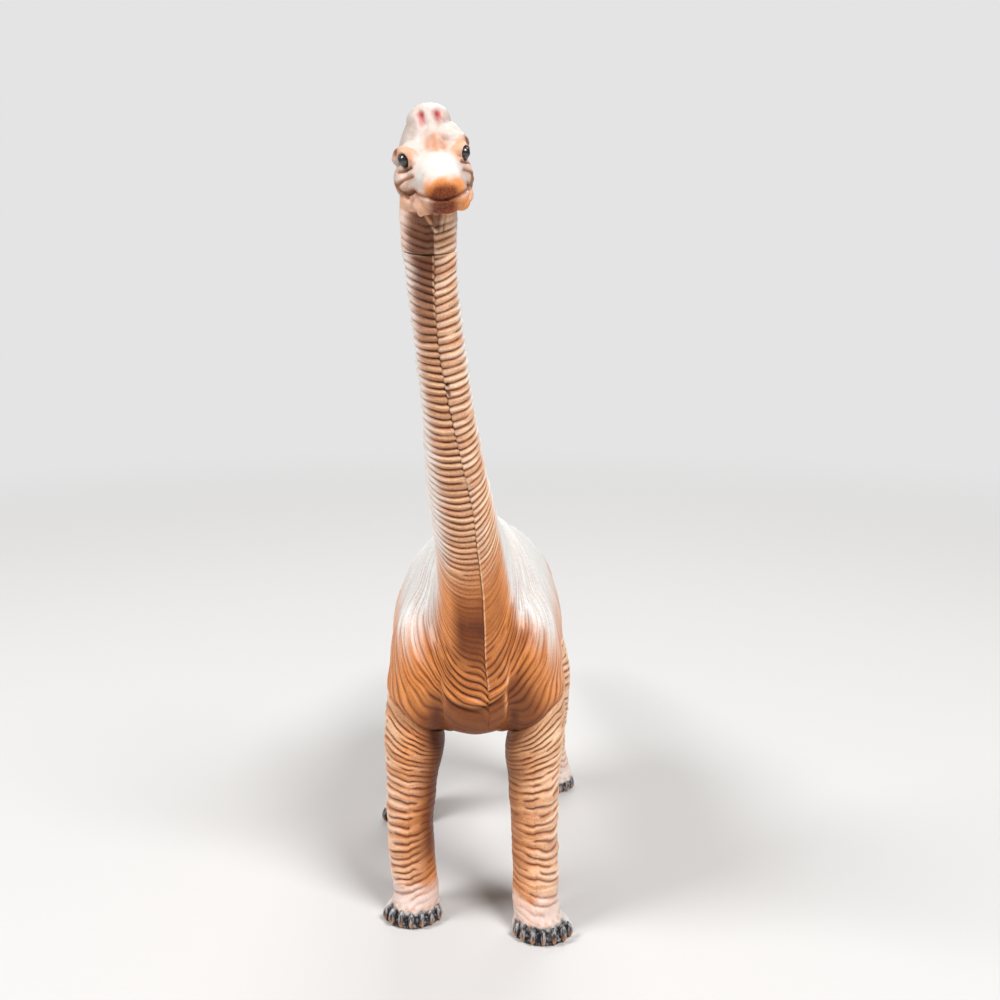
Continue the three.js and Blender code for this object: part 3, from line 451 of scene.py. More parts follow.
def bodyHalf(name, side):
    folds, relief, paint = bodyFolds, bodyRelief, bodyPaint
    hand = 0 if side > 0 else 1  # where a value differs, the figure's left comes first
    places = evenPlaces(0, lastPlace, folds["rowSpacing"])
    share = np.linspace(0, 1, folds["columns"])
    crowd = folds["edgeCrowding"] / (2 * math.pi)
    angles = math.pi * (share - crowd * np.sin(2 * math.pi * share))
    turns, reach = np.array(folds["seamTurn"], float), folds["turnSmoothing"]
    turn = np.pad(np.interp(places, *turns.T), reach // 2, "edge")
    turn = np.convolve(turn, np.ones(reach) / reach, "valid")
    grid = bodyGrid(places, side * angles[None, :] - (turn[:, None] * angles[None, :]) / math.pi)
    grid = blendMasses(grid, halfNormals(grid), side, folds["massSoftness"])
    grid = seatLegs(grid, side)
    centre = bodySections(places)[0]
    front = np.broadcast_to((1 - np.cos(angles))[None, :] / 2, grid.shape[:2])
    place = np.broadcast_to(places[:, None], grid.shape[:2])
    height = grid[..., 2]

    # folds ring the neck, rise outward on the figure's left, hang in swags on the chest and thin
    # out to fine lines over the flanks
    cycles = foldCycles(places)
    spacing = np.linalg.norm(np.gradient(grid, axis=0), axis=2) / np.gradient(cycles)[:, None]
    onNeck = smoothStep(place, neckPlace + 1.5, neckPlace + 3)
    rise = folds["rise"][0][hand] * smoothStep(place, *folds["rise"][1])
    rise = rise + folds["riseAbove"][0][hand] * smoothStep(place, *folds["riseAbove"][1])
    rise = rise + folds["riseBelow"][0] * bump(place, *folds["riseBelow"][1])
    rise = rise * np.sin(np.minimum(math.pi - angles, math.pi / 2))[None, :]
    vee = sum(amount * bump(place, middle, width) for amount, middle, width in folds["swags"][hand])
    vee = vee * np.tanh((1 - share)[None, :] / folds["swagSpread"][hand])
    frontDepth, flankDepth = (foldRow(places, column)[:, None] for column in (2, 3))
    depth = flankDepth + (frontDepth - flankDepth) * smoothStep(front, *folds["frontShare"])
    lowFlank = smoothStep(height, *folds["lowFlank"])
    depth = depth * (1 + folds["lowFlankGain"] * lowFlank * (1 - onNeck) * (front < 0.95))
    depth = depth * smoothStep(spacing, *folds["closestSpacing"])
    depth = depth * smoothStep(place, *folds["rumpFade"])
    depth = depth * (1 - 0.9 * smoothStep(place, lastPlace - folds["endFade"], lastPlace))
    depth = depth * (1 - folds["neckEase"][hand] * onNeck)
    depth = seamFade(grid, depth, side)

    # the lip under the swags, and the halves' parting edge with its thin raised line of flash
    normals = halfNormals(grid)
    inFront, nearFront = front > 0.5, front > 0.8
    fromMiddle = np.abs(grid[..., 0] - centre[:, None, 0])
    fromSeam = np.abs(grid[..., 0] - np.where(inFront, grid[:, -1:, 0], centre[:, None, 0]))
    edge = np.exp(-(fromSeam / folds["edgeWidth"])**2)
    low = smoothStep(place, *relief["flashStart"]) * (1 - smoothStep(place, *relief["flashStop"]))
    high = smoothStep(place, *relief["flashAbove"]) * relief["flashAboveShare"]
    flash = bump(fromSeam, *relief["flashAcross"]) * (front > 0.7) * np.where(side > 0, low, high)
    depth = depth * (1 - relief["flashCover"] * np.clip(flash, 0, 1))
    lip = bump(place, *relief["lipAt"]) - 1.1 * bump(place, *relief["lipGrooveAt"])
    lip = smoothStep(front, *relief["lipFront"]) * lip
    corner = bump(fromMiddle, *relief["cornerAcross"]) * bump(place, *relief["cornerAt"])
    corner = corner * relief["cornerShare"][hand]
    pits = sum(np.exp(-(((place - at) / relief["pitLength"])**2
                        + ((fromSeam - relief["pitAside"]) / relief["pitWidth"])**2))
               for at in relief["pitsAt"])
    pits = pits * inFront * (side > 0)
    lift = relief["flashRise"] * flash - folds["edgeRound"] * edge + relief["lipRise"] * lip
    lift = lift + relief["cornerRise"] * corner * nearFront - relief["pitDepth"] * pits
    uneven = wave(grid, relief["unevenSize"], relief["unevenSeed"])
    lift = lift + relief["uneven"] * uneven * smoothStep(
        fromMiddle, *relief["unevenFrom"]) * (1 - onNeck)
    onBrisket = smoothStep(-fromMiddle, *relief["brisketAcross"])
    onBrisket = onBrisket * smoothStep(front, *relief["brisketFront"])
    lift = lift + relief["brisketRise"] * bump(place, *relief["brisketAt"]) * onBrisket
    rim = bump(fromMiddle, *relief["rimAcross"]) * bump(place, *relief["rimAt"])
    rim = rim * nearFront * relief["rimShare"][hand]
    moat = bump(fromMiddle, *relief["moatAcross"]) * bump(place, *relief["rimAt"]) * nearFront
    lift = lift + relief["rimRise"] * rim - relief["moatDepth"] * moat
    flank = bump(height, *relief["flankHeight"]) * smoothStep(fromMiddle, *relief["flankAcross"])
    lift = lift - relief["flankHollow"] * flank * (place > 5)
    armpit = bump(fromMiddle, *relief["armpitAcross"]) * bump(height, *relief["armpitHeight"])
    lift = lift - relief["armpitHollow"] * armpit * (place > 6)
    below = smoothStep(-place, *relief["brisketBelow"])
    depth = depth * (1 - relief["brisketSmooth"] * onBrisket * below)
    onSide = smoothStep(height, *folds["sideHeight"])
    depth = depth * (1 - folds["sideEase"] * onSide * (1 - onNeck))
    grid = grid + normals * lift[..., None]
    aside = side * (grid[..., 0] - centre[:, None, 0])
    gap = bodyShape["seamGap"]
    aside = np.where(inFront, aside + gap * edge, np.maximum(aside, gap))
    grid[..., 0] = centre[:, None, 0] + side * aside

    # paint: pale airbrushed back and sides of the neck; painted shade on the front of the chest and
    # throat, on the brisket, the low belly and the armpits
    drift = sum(wave(grid, size, seed) * amount for size, seed, amount in paint["drift"])
    neckShare = np.clip((place - neckPlace) / 9, 0, 1)
    neckDark, neckPale, neckPeach = neckPaint(front, side, neckShare)
    pale = height + drift - paint["paleFront"] * front + paint["paleUp"][hand]
    pale = smoothStep(pale, *paint["paleHeight"])
    pale = pale * (0.9 + 0.1 * smoothStep(height, *paint["fullHeight"]))
    broad = smoothStep(np.abs(normals[..., 0]), *paint["broad"])
    broad = paint["broadCover"][hand] * broad * smoothStep(-height - drift, *paint["broadBelow"])
    pale = pale * (1 - broad)
    pale = pale * (1 - smoothStep(front + 0.02 * drift / 4, *paint["paleStops"][hand]))
    pale = pale + (neckPale - pale) * onNeck
    # painted shade: throat, chest, brisket, low belly and armpits are darkened where they lie in
    # shade, more on the figure's right
    throat = bump(place, *paint["throatAt"]) * smoothStep(front, *paint["throatFront"])
    chest = bump(place, *paint["chestAt"]) * smoothStep(front, *paint["chestFront"])
    brisket = smoothStep(front, *paint["brisketFront"]) * smoothStep(-place, *paint["brisketBelow"])
    brown = paint["brisketShade"] + 0.12 * smoothStep(-height, *paint["brisketHeight"])
    belly = smoothStep(-place, *paint["bellyAt"]) * smoothStep(-height, *paint["bellyHeight"])
    armpit = bump(fromMiddle, *paint["armpitAcross"]) * smoothStep(-height, *paint["armpitHeight"])
    dark = np.maximum(paint["throatShade"][hand] * throat, paint["chestShade"] * chest)
    dark = np.maximum(np.maximum(dark, brown * brisket), paint["bellyShade"] * belly)
    dark = np.maximum(dark, armpit) * (1 - 0.9 * rim)
    dark = dark + (neckDark - dark) * onNeck
    dark = dark * (1 - relief["flashCover"] * np.clip(flash, 0, 1))
    peach = paint["bodyPeach"] + (neckPeach - paint["bodyPeach"]) * onNeck
    # painted highlight: peach on the flash line and on the brisket's raised rim, which are also
    # kept clear of painted shade just above
    peach = np.clip(peach + paint["flashHighlight"] * flash + paint["rimHighlight"] * rim, 0, 1)
    twin = smoothStep(place, *paint["twinFrom"]) * smoothStep(-place, *paint["twinTo"])
    twin = smoothStep(0.93 - front, 0, paint["twinFront"]) * twin
    seamLine = 0.35 * edge * (1 - flash) * smoothStep(place, 9.3, 9.7) + pits * 1.4
    seamLine = seamLine + 0.5 * bump(place, 9.5, 0.1) * (front > 0.95)
    values = {
        "foldCycle": cycles[:, None] + (folds["slip"] if side > 0 else 0) - rise - vee,
        "foldDepth": depth * mm,
        "foldBreak": folds["breakShare"] - folds["neckBreaks"] * onNeck
        + folds["flankBreaks"] * (front < 0.6),
        "pale": np.clip(pale, 0, 1), "dark": np.clip(dark, 0, 1), "peach": peach,
        "blue": smoothStep(height + drift, *paint["blueHeight"]) * (1 - paint["neckBlue"] * onNeck),
        "twin": twin, "seamLine": np.clip(seamLine, 0, 1),
    }

    # a few plain columns close the half along its seam
    ring = np.linspace(0, 1, folds["seamColumns"] + 2)[1:-1]
    bridge = grid[:, -1:] + (grid[:, :1] - grid[:, -1:]) * ring[None, :, None]
    padded = {}
    for key, value in values.items():
        full = np.broadcast_to(value, grid.shape[:2])
        padded[key] = np.concatenate([full, np.zeros((len(places), folds["seamColumns"]))], 1)
    return gridMesh(name, np.concatenate([grid, bridge], 1), padded)


# Folded skin

def foldTree():
    # Sizes and depths are in metres. The grain of cast vinyl is a fifth of a millimetre or less,
    # too fine for the mesh and the render, so it is drawn at 1.1 mm.
    sizes = {
        "Wander Depth": 0.35, "Wander Size": 0.012, "Roundness": 0.9, "Upward": 1.0,
        "Break Size": 0.011, "Break Edge": 0.06, "Twin Sharpness": 0.45, "Swell": 0.5,
        "Skin Level": 0.72, "Crease Power": 2.1, "Crease Full Depth": 0.0004,
        "Streak Pitch": 1.9, "Streak Scale": 55.0, "Streak Depth": 0.0002,
        "Grain Size": 0.0011, "Grain Depth": 0.00003, "Dent Size": 0.005, "Dent Depth": 0.0001,
    }
    tree, given = newTree("skinFolds", sizes)
    made = {key: given[key] for key in sizes}
    made["place"] = addNode(tree, "GeometryNodeInputPosition").outputs[0]
    for key in ("foldCycle", "foldDepth", "foldBreak", "twin"):
        made[key] = addNode(tree, "GeometryNodeInputNamedAttribute", {"data_type": "FLOAT"}, {
            "Name": key}).outputs["Attribute"]
    for name, detail in (("Wander", 1.0), ("Grain", 2.0), ("Dent", 1.0)):
        scale = addNode(tree, "ShaderNodeMath", {"operation": "DIVIDE"}, {
            0: 1.0, 1: made[name + " Size"]}).outputs[0]
        made[name] = addNode(tree, "ShaderNodeTexNoise", inputs={
            "Vector": made["place"], "Scale": scale, "Detail": detail}).outputs[0]
    addNodes(tree, made, "ShaderNodeMath", [
        ("offWander", "SUBTRACT", "Wander", 0.5),
        ("wander", "MULTIPLY", "offWander", "Wander Depth"),
        ("cycle", "MULTIPLY_ADD", "wander", 2.0, "foldCycle"),
        ("turned", "MULTIPLY", "cycle", math.pi),
        ("sine", "SINE", "turned"),
        ("sineSize", "ABSOLUTE", "sine"),
        ("ridge", "POWER", "sineSize", "Roundness"),
        ("cosine", "COSINE", "turned"),
        ("cosineSize", "ABSOLUTE", "cosine"),
        ("between", "POWER", "cosineSize", "Twin Sharpness"),
        ("grooveNumber", "ROUND", "cycle"),
        ("foldNumber", "FLOOR", "cycle"),
        ("twinNumber", "ADD", "foldNumber", 0.5),
        ("breakScale", "DIVIDE", 1.0, "Break Size"),
        ("breakLow", "SUBTRACT", "foldBreak", "Break Edge"),
        ("breakHigh", "ADD", "foldBreak", "Break Edge"),
        ("streakPlace", "MULTIPLY", "cycle", "Streak Pitch"),
        ("upward", "MULTIPLY", "cycle", "Upward"),
        ("within", "FRACT", "upward"),
    ])
    for name, number in (("presence", "grooveNumber"), ("twinPresence", "twinNumber")):
        # each groove has its own number, and breaks in its own places
        offset = addNode(tree, "ShaderNodeVectorMath", {"operation": "SCALE"}, {
            0: (0.0173, 0.0091, 0.0137), "Scale": made[number]}).outputs[0]
        moved = addNode(tree, "ShaderNodeVectorMath", {"operation": "ADD"}, {
            0: made["place"], 1: offset}).outputs[0]
        noise = addNode(tree, "ShaderNodeTexNoise", inputs={
            "Vector": moved, "Scale": made["breakScale"], "Detail": 0.0}).outputs[0]
        made[name] = addNode(tree, "ShaderNodeMapRange", {"interpolation_type": "SMOOTHSTEP"}, {
            "Value": noise, "From Min": made["breakLow"], "From Max": made["breakHigh"]}).outputs[0]
    made["chance"] = addNode(tree, "ShaderNodeTexWhiteNoise", {"noise_dimensions": "1D"}, {
        "W": made["foldNumber"]}).outputs[0]
    along = addNode(tree, "ShaderNodeCombineXYZ", inputs={0: made["streakPlace"]}).outputs[0]
    slow = addNode(tree, "ShaderNodeVectorMath", {"operation": "SCALE"}, {
        0: made["place"], "Scale": made["Streak Scale"]}).outputs[0]
    thread = addNode(tree, "ShaderNodeVectorMath", {"operation": "ADD"}, {0: along, 1: slow})
    made["streak"] = addNode(tree, "ShaderNodeTexNoise", inputs={
        "Vector": thread.outputs[0], "Scale": 1.0, "Detail": 2.0}).outputs[0]
    made["strength"] = addNode(tree, "ShaderNodeMapRange", inputs={
        "Value": made["foldDepth"], "From Min": 0.0,
        "From Max": made["Crease Full Depth"]}).outputs[0]
    # painted shade: the lower side of each fold, which faces away from light from above, is marked
    # for the paint to darken
    made["below"] = addNode(tree, "ShaderNodeMapRange", {"interpolation_type": "SMOOTHSTEP"}, {
        "Value": made["within"], "From Min": 0.6, "From Max": 0.1}).outputs[0]
    addNodes(tree, made, "ShaderNodeMath", [
        ("opened", "SUBTRACT", 1.0, "ridge"),
        ("groove", "MULTIPLY", "opened", "presence"),
        ("notBetween", "SUBTRACT", 1.0, "between"),
        ("twinPlace", "MULTIPLY", "notBetween", "twin"),
        ("twinGroove", "MULTIPLY", "twinPlace", "twinPresence"),
        ("deepest", "MAXIMUM", "groove", "twinGroove"),
        ("offChance", "SUBTRACT", "chance", 0.5),
        ("swelling", "MULTIPLY", "offChance", "Swell"),
        ("swell", "MULTIPLY", "swelling", "presence"),
        ("ungrooved", "SUBTRACT", 1.0, "deepest"),
        ("fullness", "ADD", "swell", 1.0),
        ("crest", "MULTIPLY", "ungrooved", "fullness"),
        ("aboveSkin", "SUBTRACT", "crest", "Skin Level"),
        ("lift", "MULTIPLY", "foldDepth", "aboveSkin"),
        ("offStreak", "SUBTRACT", "streak", 0.5),
        ("fine", "MULTIPLY", "offStreak", "Streak Depth"),
        ("offGrain", "SUBTRACT", "Grain", 0.5),
        ("grain", "MULTIPLY", "offGrain", "Grain Depth"),
        ("offDent", "SUBTRACT", "Dent", 0.5),
        ("dent", "MULTIPLY", "offDent", "Dent Depth"),
        ("folded", "ADD", "lift", "fine"),
        ("roughened", "ADD", "grain", "dent"),
        ("total", "ADD", "folded", "roughened"),
        ("sharpened", "POWER", "deepest", "Crease Power"),
        ("crease", "MULTIPLY", "sharpened", "strength"),
        ("shaded", "MULTIPLY", "below", "presence"),
        ("foldUndersideShade", "MULTIPLY", "shaded", "strength"),
    ])
    geometry = given["Geometry"]
    for key in ("crease", "streak", "foldUndersideShade"):  # kept for the paint
        geometry = addNode(tree, "GeometryNodeStoreNamedAttribute", {
            "data_type": "FLOAT", "domain": "POINT"}, {
            "Geometry": geometry, "Name": key, "Value": made[key]}).outputs[0]
    normal = addNode(tree, "GeometryNodeInputNormal").outputs[0]
    shift = addNode(tree, "ShaderNodeVectorMath", {"operation": "SCALE"}, {
        0: normal, "Scale": made["total"]}).outputs[0]
    grown = addNode(tree, "GeometryNodeSetPosition", inputs={"Geometry": geometry, "Offset": shift})
    endTree(tree, grown.outputs[0], given["Material"])
    return tree


# Legs

legShape = {
    # down the leg: outward and back of its seam in socket radii, share of the height, share of the
    # seam's tilt, then half widths across and along in socket radii
    "front": {
        "rows": [
            (0, 0, 0, 1, 1, 1), (0.04, 0, 0.085, 0.7, 0.95, 0.97),
            (0.08, 0, 0.18, 0.36, 0.87, 0.91),
            (0.145, 0, 0.29, 0.1, 0.775, 0.84), (0.195, -0.02, 0.41, 0, 0.725, 0.78),
            (0.23, 0, 0.54, 0, 0.685, 0.74), (0.21, 0.04, 0.68, 0, 0.69, 0.73),
            (0.17, 0.05, 0.79, 0, 0.675, 0.71), (0.1, 0.02, 0.87, 0, 0.68, 0.74),
            (0.13, -0.02, 0.93, 0, 0.72, 0.81), (0.2, -0.04, 0.985, 0, 0.915, 0.95),
            (0.2, -0.04, 1, 0, 0.88, 0.91),
        ],
    },
    "rear": {
        "rows": [
            (0, 0, 0, 1, 1, 1), (0.17, -0.05, 0.08, 0.76, 0.86, 0.97),
            (0.33, -0.13, 0.18, 0.5, 0.73, 0.93),
            (0.51, -0.22, 0.3, 0.24, 0.69, 0.86), (0.59, -0.26, 0.42, 0.08, 0.61, 0.74),
            (0.62, -0.16, 0.55, 0, 0.55, 0.64), (0.63, -0.03, 0.68, 0, 0.5, 0.57),
            (0.65, 0.03, 0.8, 0, 0.53, 0.58), (0.7, 0, 0.88, 0, 0.61, 0.66),
            (0.75, -0.03, 0.94, 0, 0.68, 0.71), (0.77, -0.04, 0.985, 0, 0.71, 0.74),
            (0.77, -0.04, 1, 0, 0.68, 0.71),
        ],
    },
    "rowSpacing": 0.38, "columns": 132, "foldPitch": 3.2, "foldDepth": 0.95, "footFolds": 0.2,
    # share of the way down, then by how many folds they slant from the front to the outer side
    "slopes": [(0, 1.3), (0.2, 0.8), (0.35, 0.3), (0.5, -0.3), (0.65, -0.8), (0.8, -1.0)],
    "ankle": 0.82, "seamSlip": 0.08, "strideShare": 1.25, "axisSteps": 800,
    "gap": {"front": 0.2, "rear": 0.32},  # between the seam's flat and the leg, in millimetres
    "topEnds": [0.97, 0.992, 1.0], "soleEnds": [0.995, 0.97, 0.93], "soleHeight": 0.07,
    "slantWander": (0.25, 40), "thighFolds": 3.0, "thighEnd": 0.34, "topFade": 0.09,
    "unevenFolds": (0.95, 0.3, 22), "innerEase": 0.8, "innerFrom": 0.55, "footFoldsAt": (0.9, 0.04),
    "seamWidth": 0.45, "seamEnd": (0.86, 0.9), "seamEase": 0.3, "lumps": (0.25, 9),
    "toeCount": 7, "toeSpread": 20, "toeDepth": 0.4, "toeHeight": 8,
    # paint: steps down the leg's length from 0 to 1; pairs of amounts are for left and right legs;
    # the inner and top shades are painted shade, deeper on the right legs, and the left legs'
    # larger inner peach is painted light
    "palePatches": (0.25, 15), "footPale": (0.77, 0.86), "hipPale": 0.6, "innerShade": (0.4, 1.0),
    "innerShadeEnd": (0.6, 0.9), "topShade": 0.2, "footBlue": (0.84, 0.97),
    "innerPeach": (0.4, 0.15), "outerPeach": 0.6, "sootHeight": (4.6, 6.8), "glazeHeight": 6.3,
}
legs = [  # millimetres: step is how far forward the foot stands, kneeIn how far in the knee is
    {"node": "front_left_leg", "kind": "front", "side": 1, "step": 7.0, "kneeIn": 3.5, "seed": 11},
    {"node": "front_right_leg", "kind": "front", "side": -1, "step": -3.0, "kneeIn": 0, "seed": 12},
    {"node": "rear_left_leg", "kind": "rear", "side": 1, "step": -25.5, "kneeIn": 0, "seed": 13},
    {"node": "rear_right_leg", "kind": "rear", "side": -1, "step": 5.0, "kneeIn": 0, "seed": 14},
]


def legAxis(leg):
    socket, rows = sockets[leg["kind"]], legShape[leg["kind"]]["rows"]
    radius, height = socket["radius"], socket["height"]
    values, reach = [], legShape["strideShare"]
    for out, back, drop, tilt, wide, deep in rows:
        stride = -leg["step"] * smoothStep(drop, 0, reach) * reach
        inward = leg["kneeIn"] * math.sin(math.pi * min(drop, 1))
        values.append((
            leg["side"] * (out * radius - inward), back * radius + stride, -drop * height,
            wide * radius, deep * radius, tilt * math.radians(socket["tilt"])))
    return np.array(values, float)


def makeLeg(name, leg):
    shape, side, seed = legShape, leg["side"], leg["seed"]
    hand = 0 if side > 0 else 1
    values = legAxis(leg)
    steps = np.linspace(0, 1, shape["axisSteps"])
    fine = splineAt(values, steps)
    walked = np.linalg.norm(np.diff(fine[:, :3], axis=0), axis=1)
    walked = np.concatenate([[0], np.cumsum(walked)])
    count = int(walked[-1] / shape["rowSpacing"])
    shares = np.interp(np.linspace(0, walked[-1], count), walked, steps)
    shares = np.concatenate([[0, 0.002], shares[2:], [1.0]])
    scale = np.ones(len(shares))
    scale[:3], scale[-3:] = shape["topEnds"], shape["soleEnds"]  # rounds both ends off
    data = splineAt(values, shares)
    angles = np.linspace(0, 2 * math.pi, shape["columns"], endpoint=False)
    turn = -side * data[:, 5]
    x = np.cos(angles)[None, :] * (data[:, 3] * scale)[:, None]
    y = np.sin(angles)[None, :] * (data[:, 4] * scale)[:, None]
    grid = np.stack([x * np.cos(turn)[:, None], y, -x * np.sin(turn)[:, None]], -1)
    middle, axis = seamPlane(sockets[leg["kind"]], side)
    gap = shape["gap"][leg["kind"]] * smoothStep(shares, 0.1, 0)
    grid = grid + (data[:, :3] + gap[:, None] * axis + middle)[:, None, :]
    height = np.maximum(grid[..., 2], 0)
    grid[..., 2] = height

    # folds slant over the outer side, crowd on the thigh and fade at the seam, inside and ankle
    travel = np.interp(shares, steps, walked)
    toFront = np.angle(np.exp(1j * (angles + math.pi / 2)))[None, :]  # 0 at the front of the leg
    outward = side * np.cos(angles)[None, :]
    drop = travel[:, None] / walked[-1]
    slant = outward * np.interp(drop, *np.array(shape["slopes"], float).T)
    slant = slant + shape["slantWander"][0] * wave(grid, shape["slantWander"][1], seed)
    slip = shape["seamSlip"] * np.tanh(toFront * 30) * (np.abs(toFront) < 1.8)
    thigh = shape["thighFolds"] * smoothStep(drop, 0, shape["thighEnd"])
    cycles = travel[:, None] / shape["foldPitch"] + thigh + slant + slip
    depth = shape["foldDepth"] * smoothStep(drop, 0.0, shape["topFade"])
    depth = depth * (1 - smoothStep(drop, shape["ankle"], 0.9))
    even, swing, size = shape["unevenFolds"]
    depth = depth * (even + swing * wave(grid, size, seed + 20))
    depth = depth * (1 - shape["innerEase"] * smoothStep(-outward, 0, shape["innerFrom"]))
    depth = depth + shape["footFolds"] * bump(drop, *shape["footFoldsAt"])
    line = np.exp(-(toFront * data[:, 4:5] / shape["seamWidth"])**2)
    line = line * (1 - smoothStep(drop, *shape["seamEnd"]))
    depth = depth * (1 - shape["seamEase"] * line)

    toeAngle = math.radians(shape["toeSpread"])
    inToes = smoothStep(np.abs(toFront), toeAngle * 4.0, toeAngle * 3.5)
    lobes = np.cos(toFront * math.pi / toeAngle)**2
    low = smoothStep(-height, -shape["toeHeight"], -shape["toeHeight"] * 0.45)
    normals = gridNormals(grid)
    level = smoothStep(height, 0, 0.8)
    lift = shape["toeDepth"] * (lobes - 0.75) * inToes * low * level - 0.1 * line
    lumps, lumpSize = shape["lumps"]
    lift = lift + lumps * wave(grid, lumpSize, seed + 40) * smoothStep(drop, 0.05, 0.2) * level
    grid = grid + normals * lift[..., None] * np.array([1, 1, 0.3])
    grid[..., 2] = np.maximum(grid[..., 2], shape["soleHeight"])

    patches, patchSize = shape["palePatches"]
    outer = smoothStep(outward + patches * wave(grid, patchSize, seed + 60), -0.7, 1.1)
    inner = smoothStep(-outward, -0.1, 0.9)
    foot = smoothStep(drop + 0.02 * wave(grid, 7, 9), *shape["footPale"])
    pale = 0.35 * outer * smoothStep(drop, 0.05, 0.4) + 0.95 * foot
    if leg["kind"] == "rear":
        pale = np.maximum(pale, shape["hipPale"] * smoothStep(-drop, -0.3, -0.02))
    # painted shade: darker on each leg's inner side, most on the right legs, and at the top under
    # the shoulder
    dark = shape["innerShade"][hand] * inner * (1 - smoothStep(drop, *shape["innerShadeEnd"]))
    dark = dark + shape["topShade"] * smoothStep(-drop, -0.16, 0)
    soot = 1 - smoothStep(height + 0.8 * wave(grid, 4, seed + 80), *shape["sootHeight"])
    soot = soot * (0.12 + 0.88 * smoothStep(np.abs(toFront), toeAngle * 4.4, toeAngle * 3.5))
    rims = bump(height, shape["glazeHeight"] + 0.9 * lobes, 0.8)
    return gridMesh(name, grid, {
        "foldCycle": cycles, "foldDepth": depth * mm * level,
        "foldBreak": np.full(grid.shape[:2], 0.36), "pale": np.clip(pale, 0, 1),
        "dark": np.clip(dark, 0, 1), "blue": 0.75 * smoothStep(drop, *shape["footBlue"]),
        # painted light: the left legs get more peach than the right
        "peach": shape["innerPeach"][hand] + shape["outerPeach"] * outer, "seamLine": line * 0.12,
        "soot": soot, "glaze": 0.6 * rims * inToes * lobes,
    })


def clawTree():  # claws on points, each a curved nail that is thick in the middle and blunt below
    sizes = {"Length": 0.0064, "Thickness": 0.00112, "Bulge": 0.0016}
    tree, given = newTree("clawRow", sizes)
    made = {key: given[key] for key in sizes}
    made["share"] = addNode(tree, "GeometryNodeSplineParameter").outputs["Factor"]
    for key in ("turn", "girth", "tall"):
        made[key] = addNode(tree, "GeometryNodeInputNamedAttribute", {"data_type": "FLOAT"}, {
            "Name": key}).outputs["Attribute"]
    addNodes(tree, made, "ShaderNodeMath", [
        ("rootOut", "MULTIPLY", "Bulge", 0.55),
        ("middleOut", "MULTIPLY", "Bulge", -0.85),
        ("tipOut", "MULTIPLY", "Bulge", -0.55),
        ("middleUp", "MULTIPLY", "Length", 0.82),
        ("tipUp", "MULTIPLY", "Length", 0.1),
        ("shortened", "MULTIPLY", "share", 0.86),
        ("slid", "ADD", "shortened", 0.12),
        ("turned", "MULTIPLY", "slid", math.pi),
        ("rounded", "SINE", "turned"),
        ("taper", "POWER", "rounded", 0.42),
    ])
    ends = {}
    for name, out, up in (("Start", "rootOut", "Length"), ("Middle", "middleOut", "middleUp"),
                          ("End", "tipOut", "tipUp")):
        ends[name] = addNode(tree, "ShaderNodeCombineXYZ", inputs={
            1: made[out], 2: made[up]}).outputs[0]
    curve = addNode(tree, "GeometryNodeCurveQuadraticBezier", inputs={"Resolution": 12, **ends})
    stored = addNode(tree, "GeometryNodeStoreNamedAttribute", {
        "data_type": "FLOAT", "domain": "POINT"}, {
        "Geometry": curve.outputs[0], "Name": "clawShare", "Value": made["share"]})
    swept = addNode(tree, "GeometryNodeSetCurveRadius", inputs={
        "Curve": stored.outputs[0], "Radius": made["taper"]})
    ring = addNode(tree, "GeometryNodeCurvePrimitiveCircle", inputs={
        "Resolution": 14, "Radius": given["Thickness"]})
    nail = addNode(tree, "GeometryNodeCurveToMesh", inputs={
        "Curve": swept.outputs[0], "Profile Curve": ring.outputs[0], "Fill Caps": True,
        "Scale": made["taper"]})
    smooth = addNode(tree, "GeometryNodeSetShadeSmooth", inputs={0: nail.outputs[0]})
    turn = addNode(tree, "ShaderNodeCombineXYZ", inputs={2: made["turn"]})
    size = addNode(tree, "ShaderNodeCombineXYZ", inputs={
        0: made["girth"], 1: made["girth"], 2: made["tall"]})
    placed = addNode(tree, "GeometryNodeInstanceOnPoints", inputs={
        "Points": given["Geometry"], "Instance": smooth.outputs[0], "Rotation": turn.outputs[0],
        "Scale": size.outputs[0]})
    endTree(tree, placed.outputs[0], given["Material"])
    return tree


def clawPoints(name, leg):
    socket = sockets[leg["kind"]]
    data = splineAt(legAxis(leg), [0.995])[0]
    middle = seamPlane(socket, leg["side"])[0]
    count = legShape["toeCount"]
    spread = math.radians(legShape["toeSpread"])
    rng = np.random.default_rng(leg["seed"])
    points, turns = [], []
    for k in range(count):
        angle = (k - (count - 1) / 2) * spread
        aside = math.sin(angle) * data[3] * 0.985
        ahead = math.cos(angle) * (data[4] * 0.985)
        points.append((middle[0] + data[0] + aside, middle[1] + data[1] - ahead, 0.15))
        turns.append(math.atan2(math.sin(angle) / data[3], math.cos(angle) / data[4]))
    size = socket["radius"] / 12.9 * (0.98 if leg["kind"] == "front" else 0.78)
    return meshObject(name, points, [], {
        "turn": turns, "girth": size * rng.uniform(0.92, 1.1, count),
        "tall": size * rng.uniform(0.88, 1.06, count)})


# Tail

tailShape = {
    "length": 141, "drop": 52, "swing": 16, "radius": 13.5, "gap": 0.5,
    # shares of the length, the drop, the sideways swing and the radius
    "rows": [
        (0, 0, 0, 1), (0.13, 0.035, 0.01, 0.87), (0.31, 0.15, 0.06, 0.7), (0.5, 0.32, 0.2, 0.54),
        (0.69, 0.55, 0.45, 0.38), (0.86, 0.79, 0.74, 0.24), (0.97, 0.95, 0.95, 0.13),
        (1.0, 1.0, 1.0, 0.05),
    ],
    "rowSpacing": 0.45, "columns": 84, "foldPitch": 2.9, "foldDepth": 0.34,
}


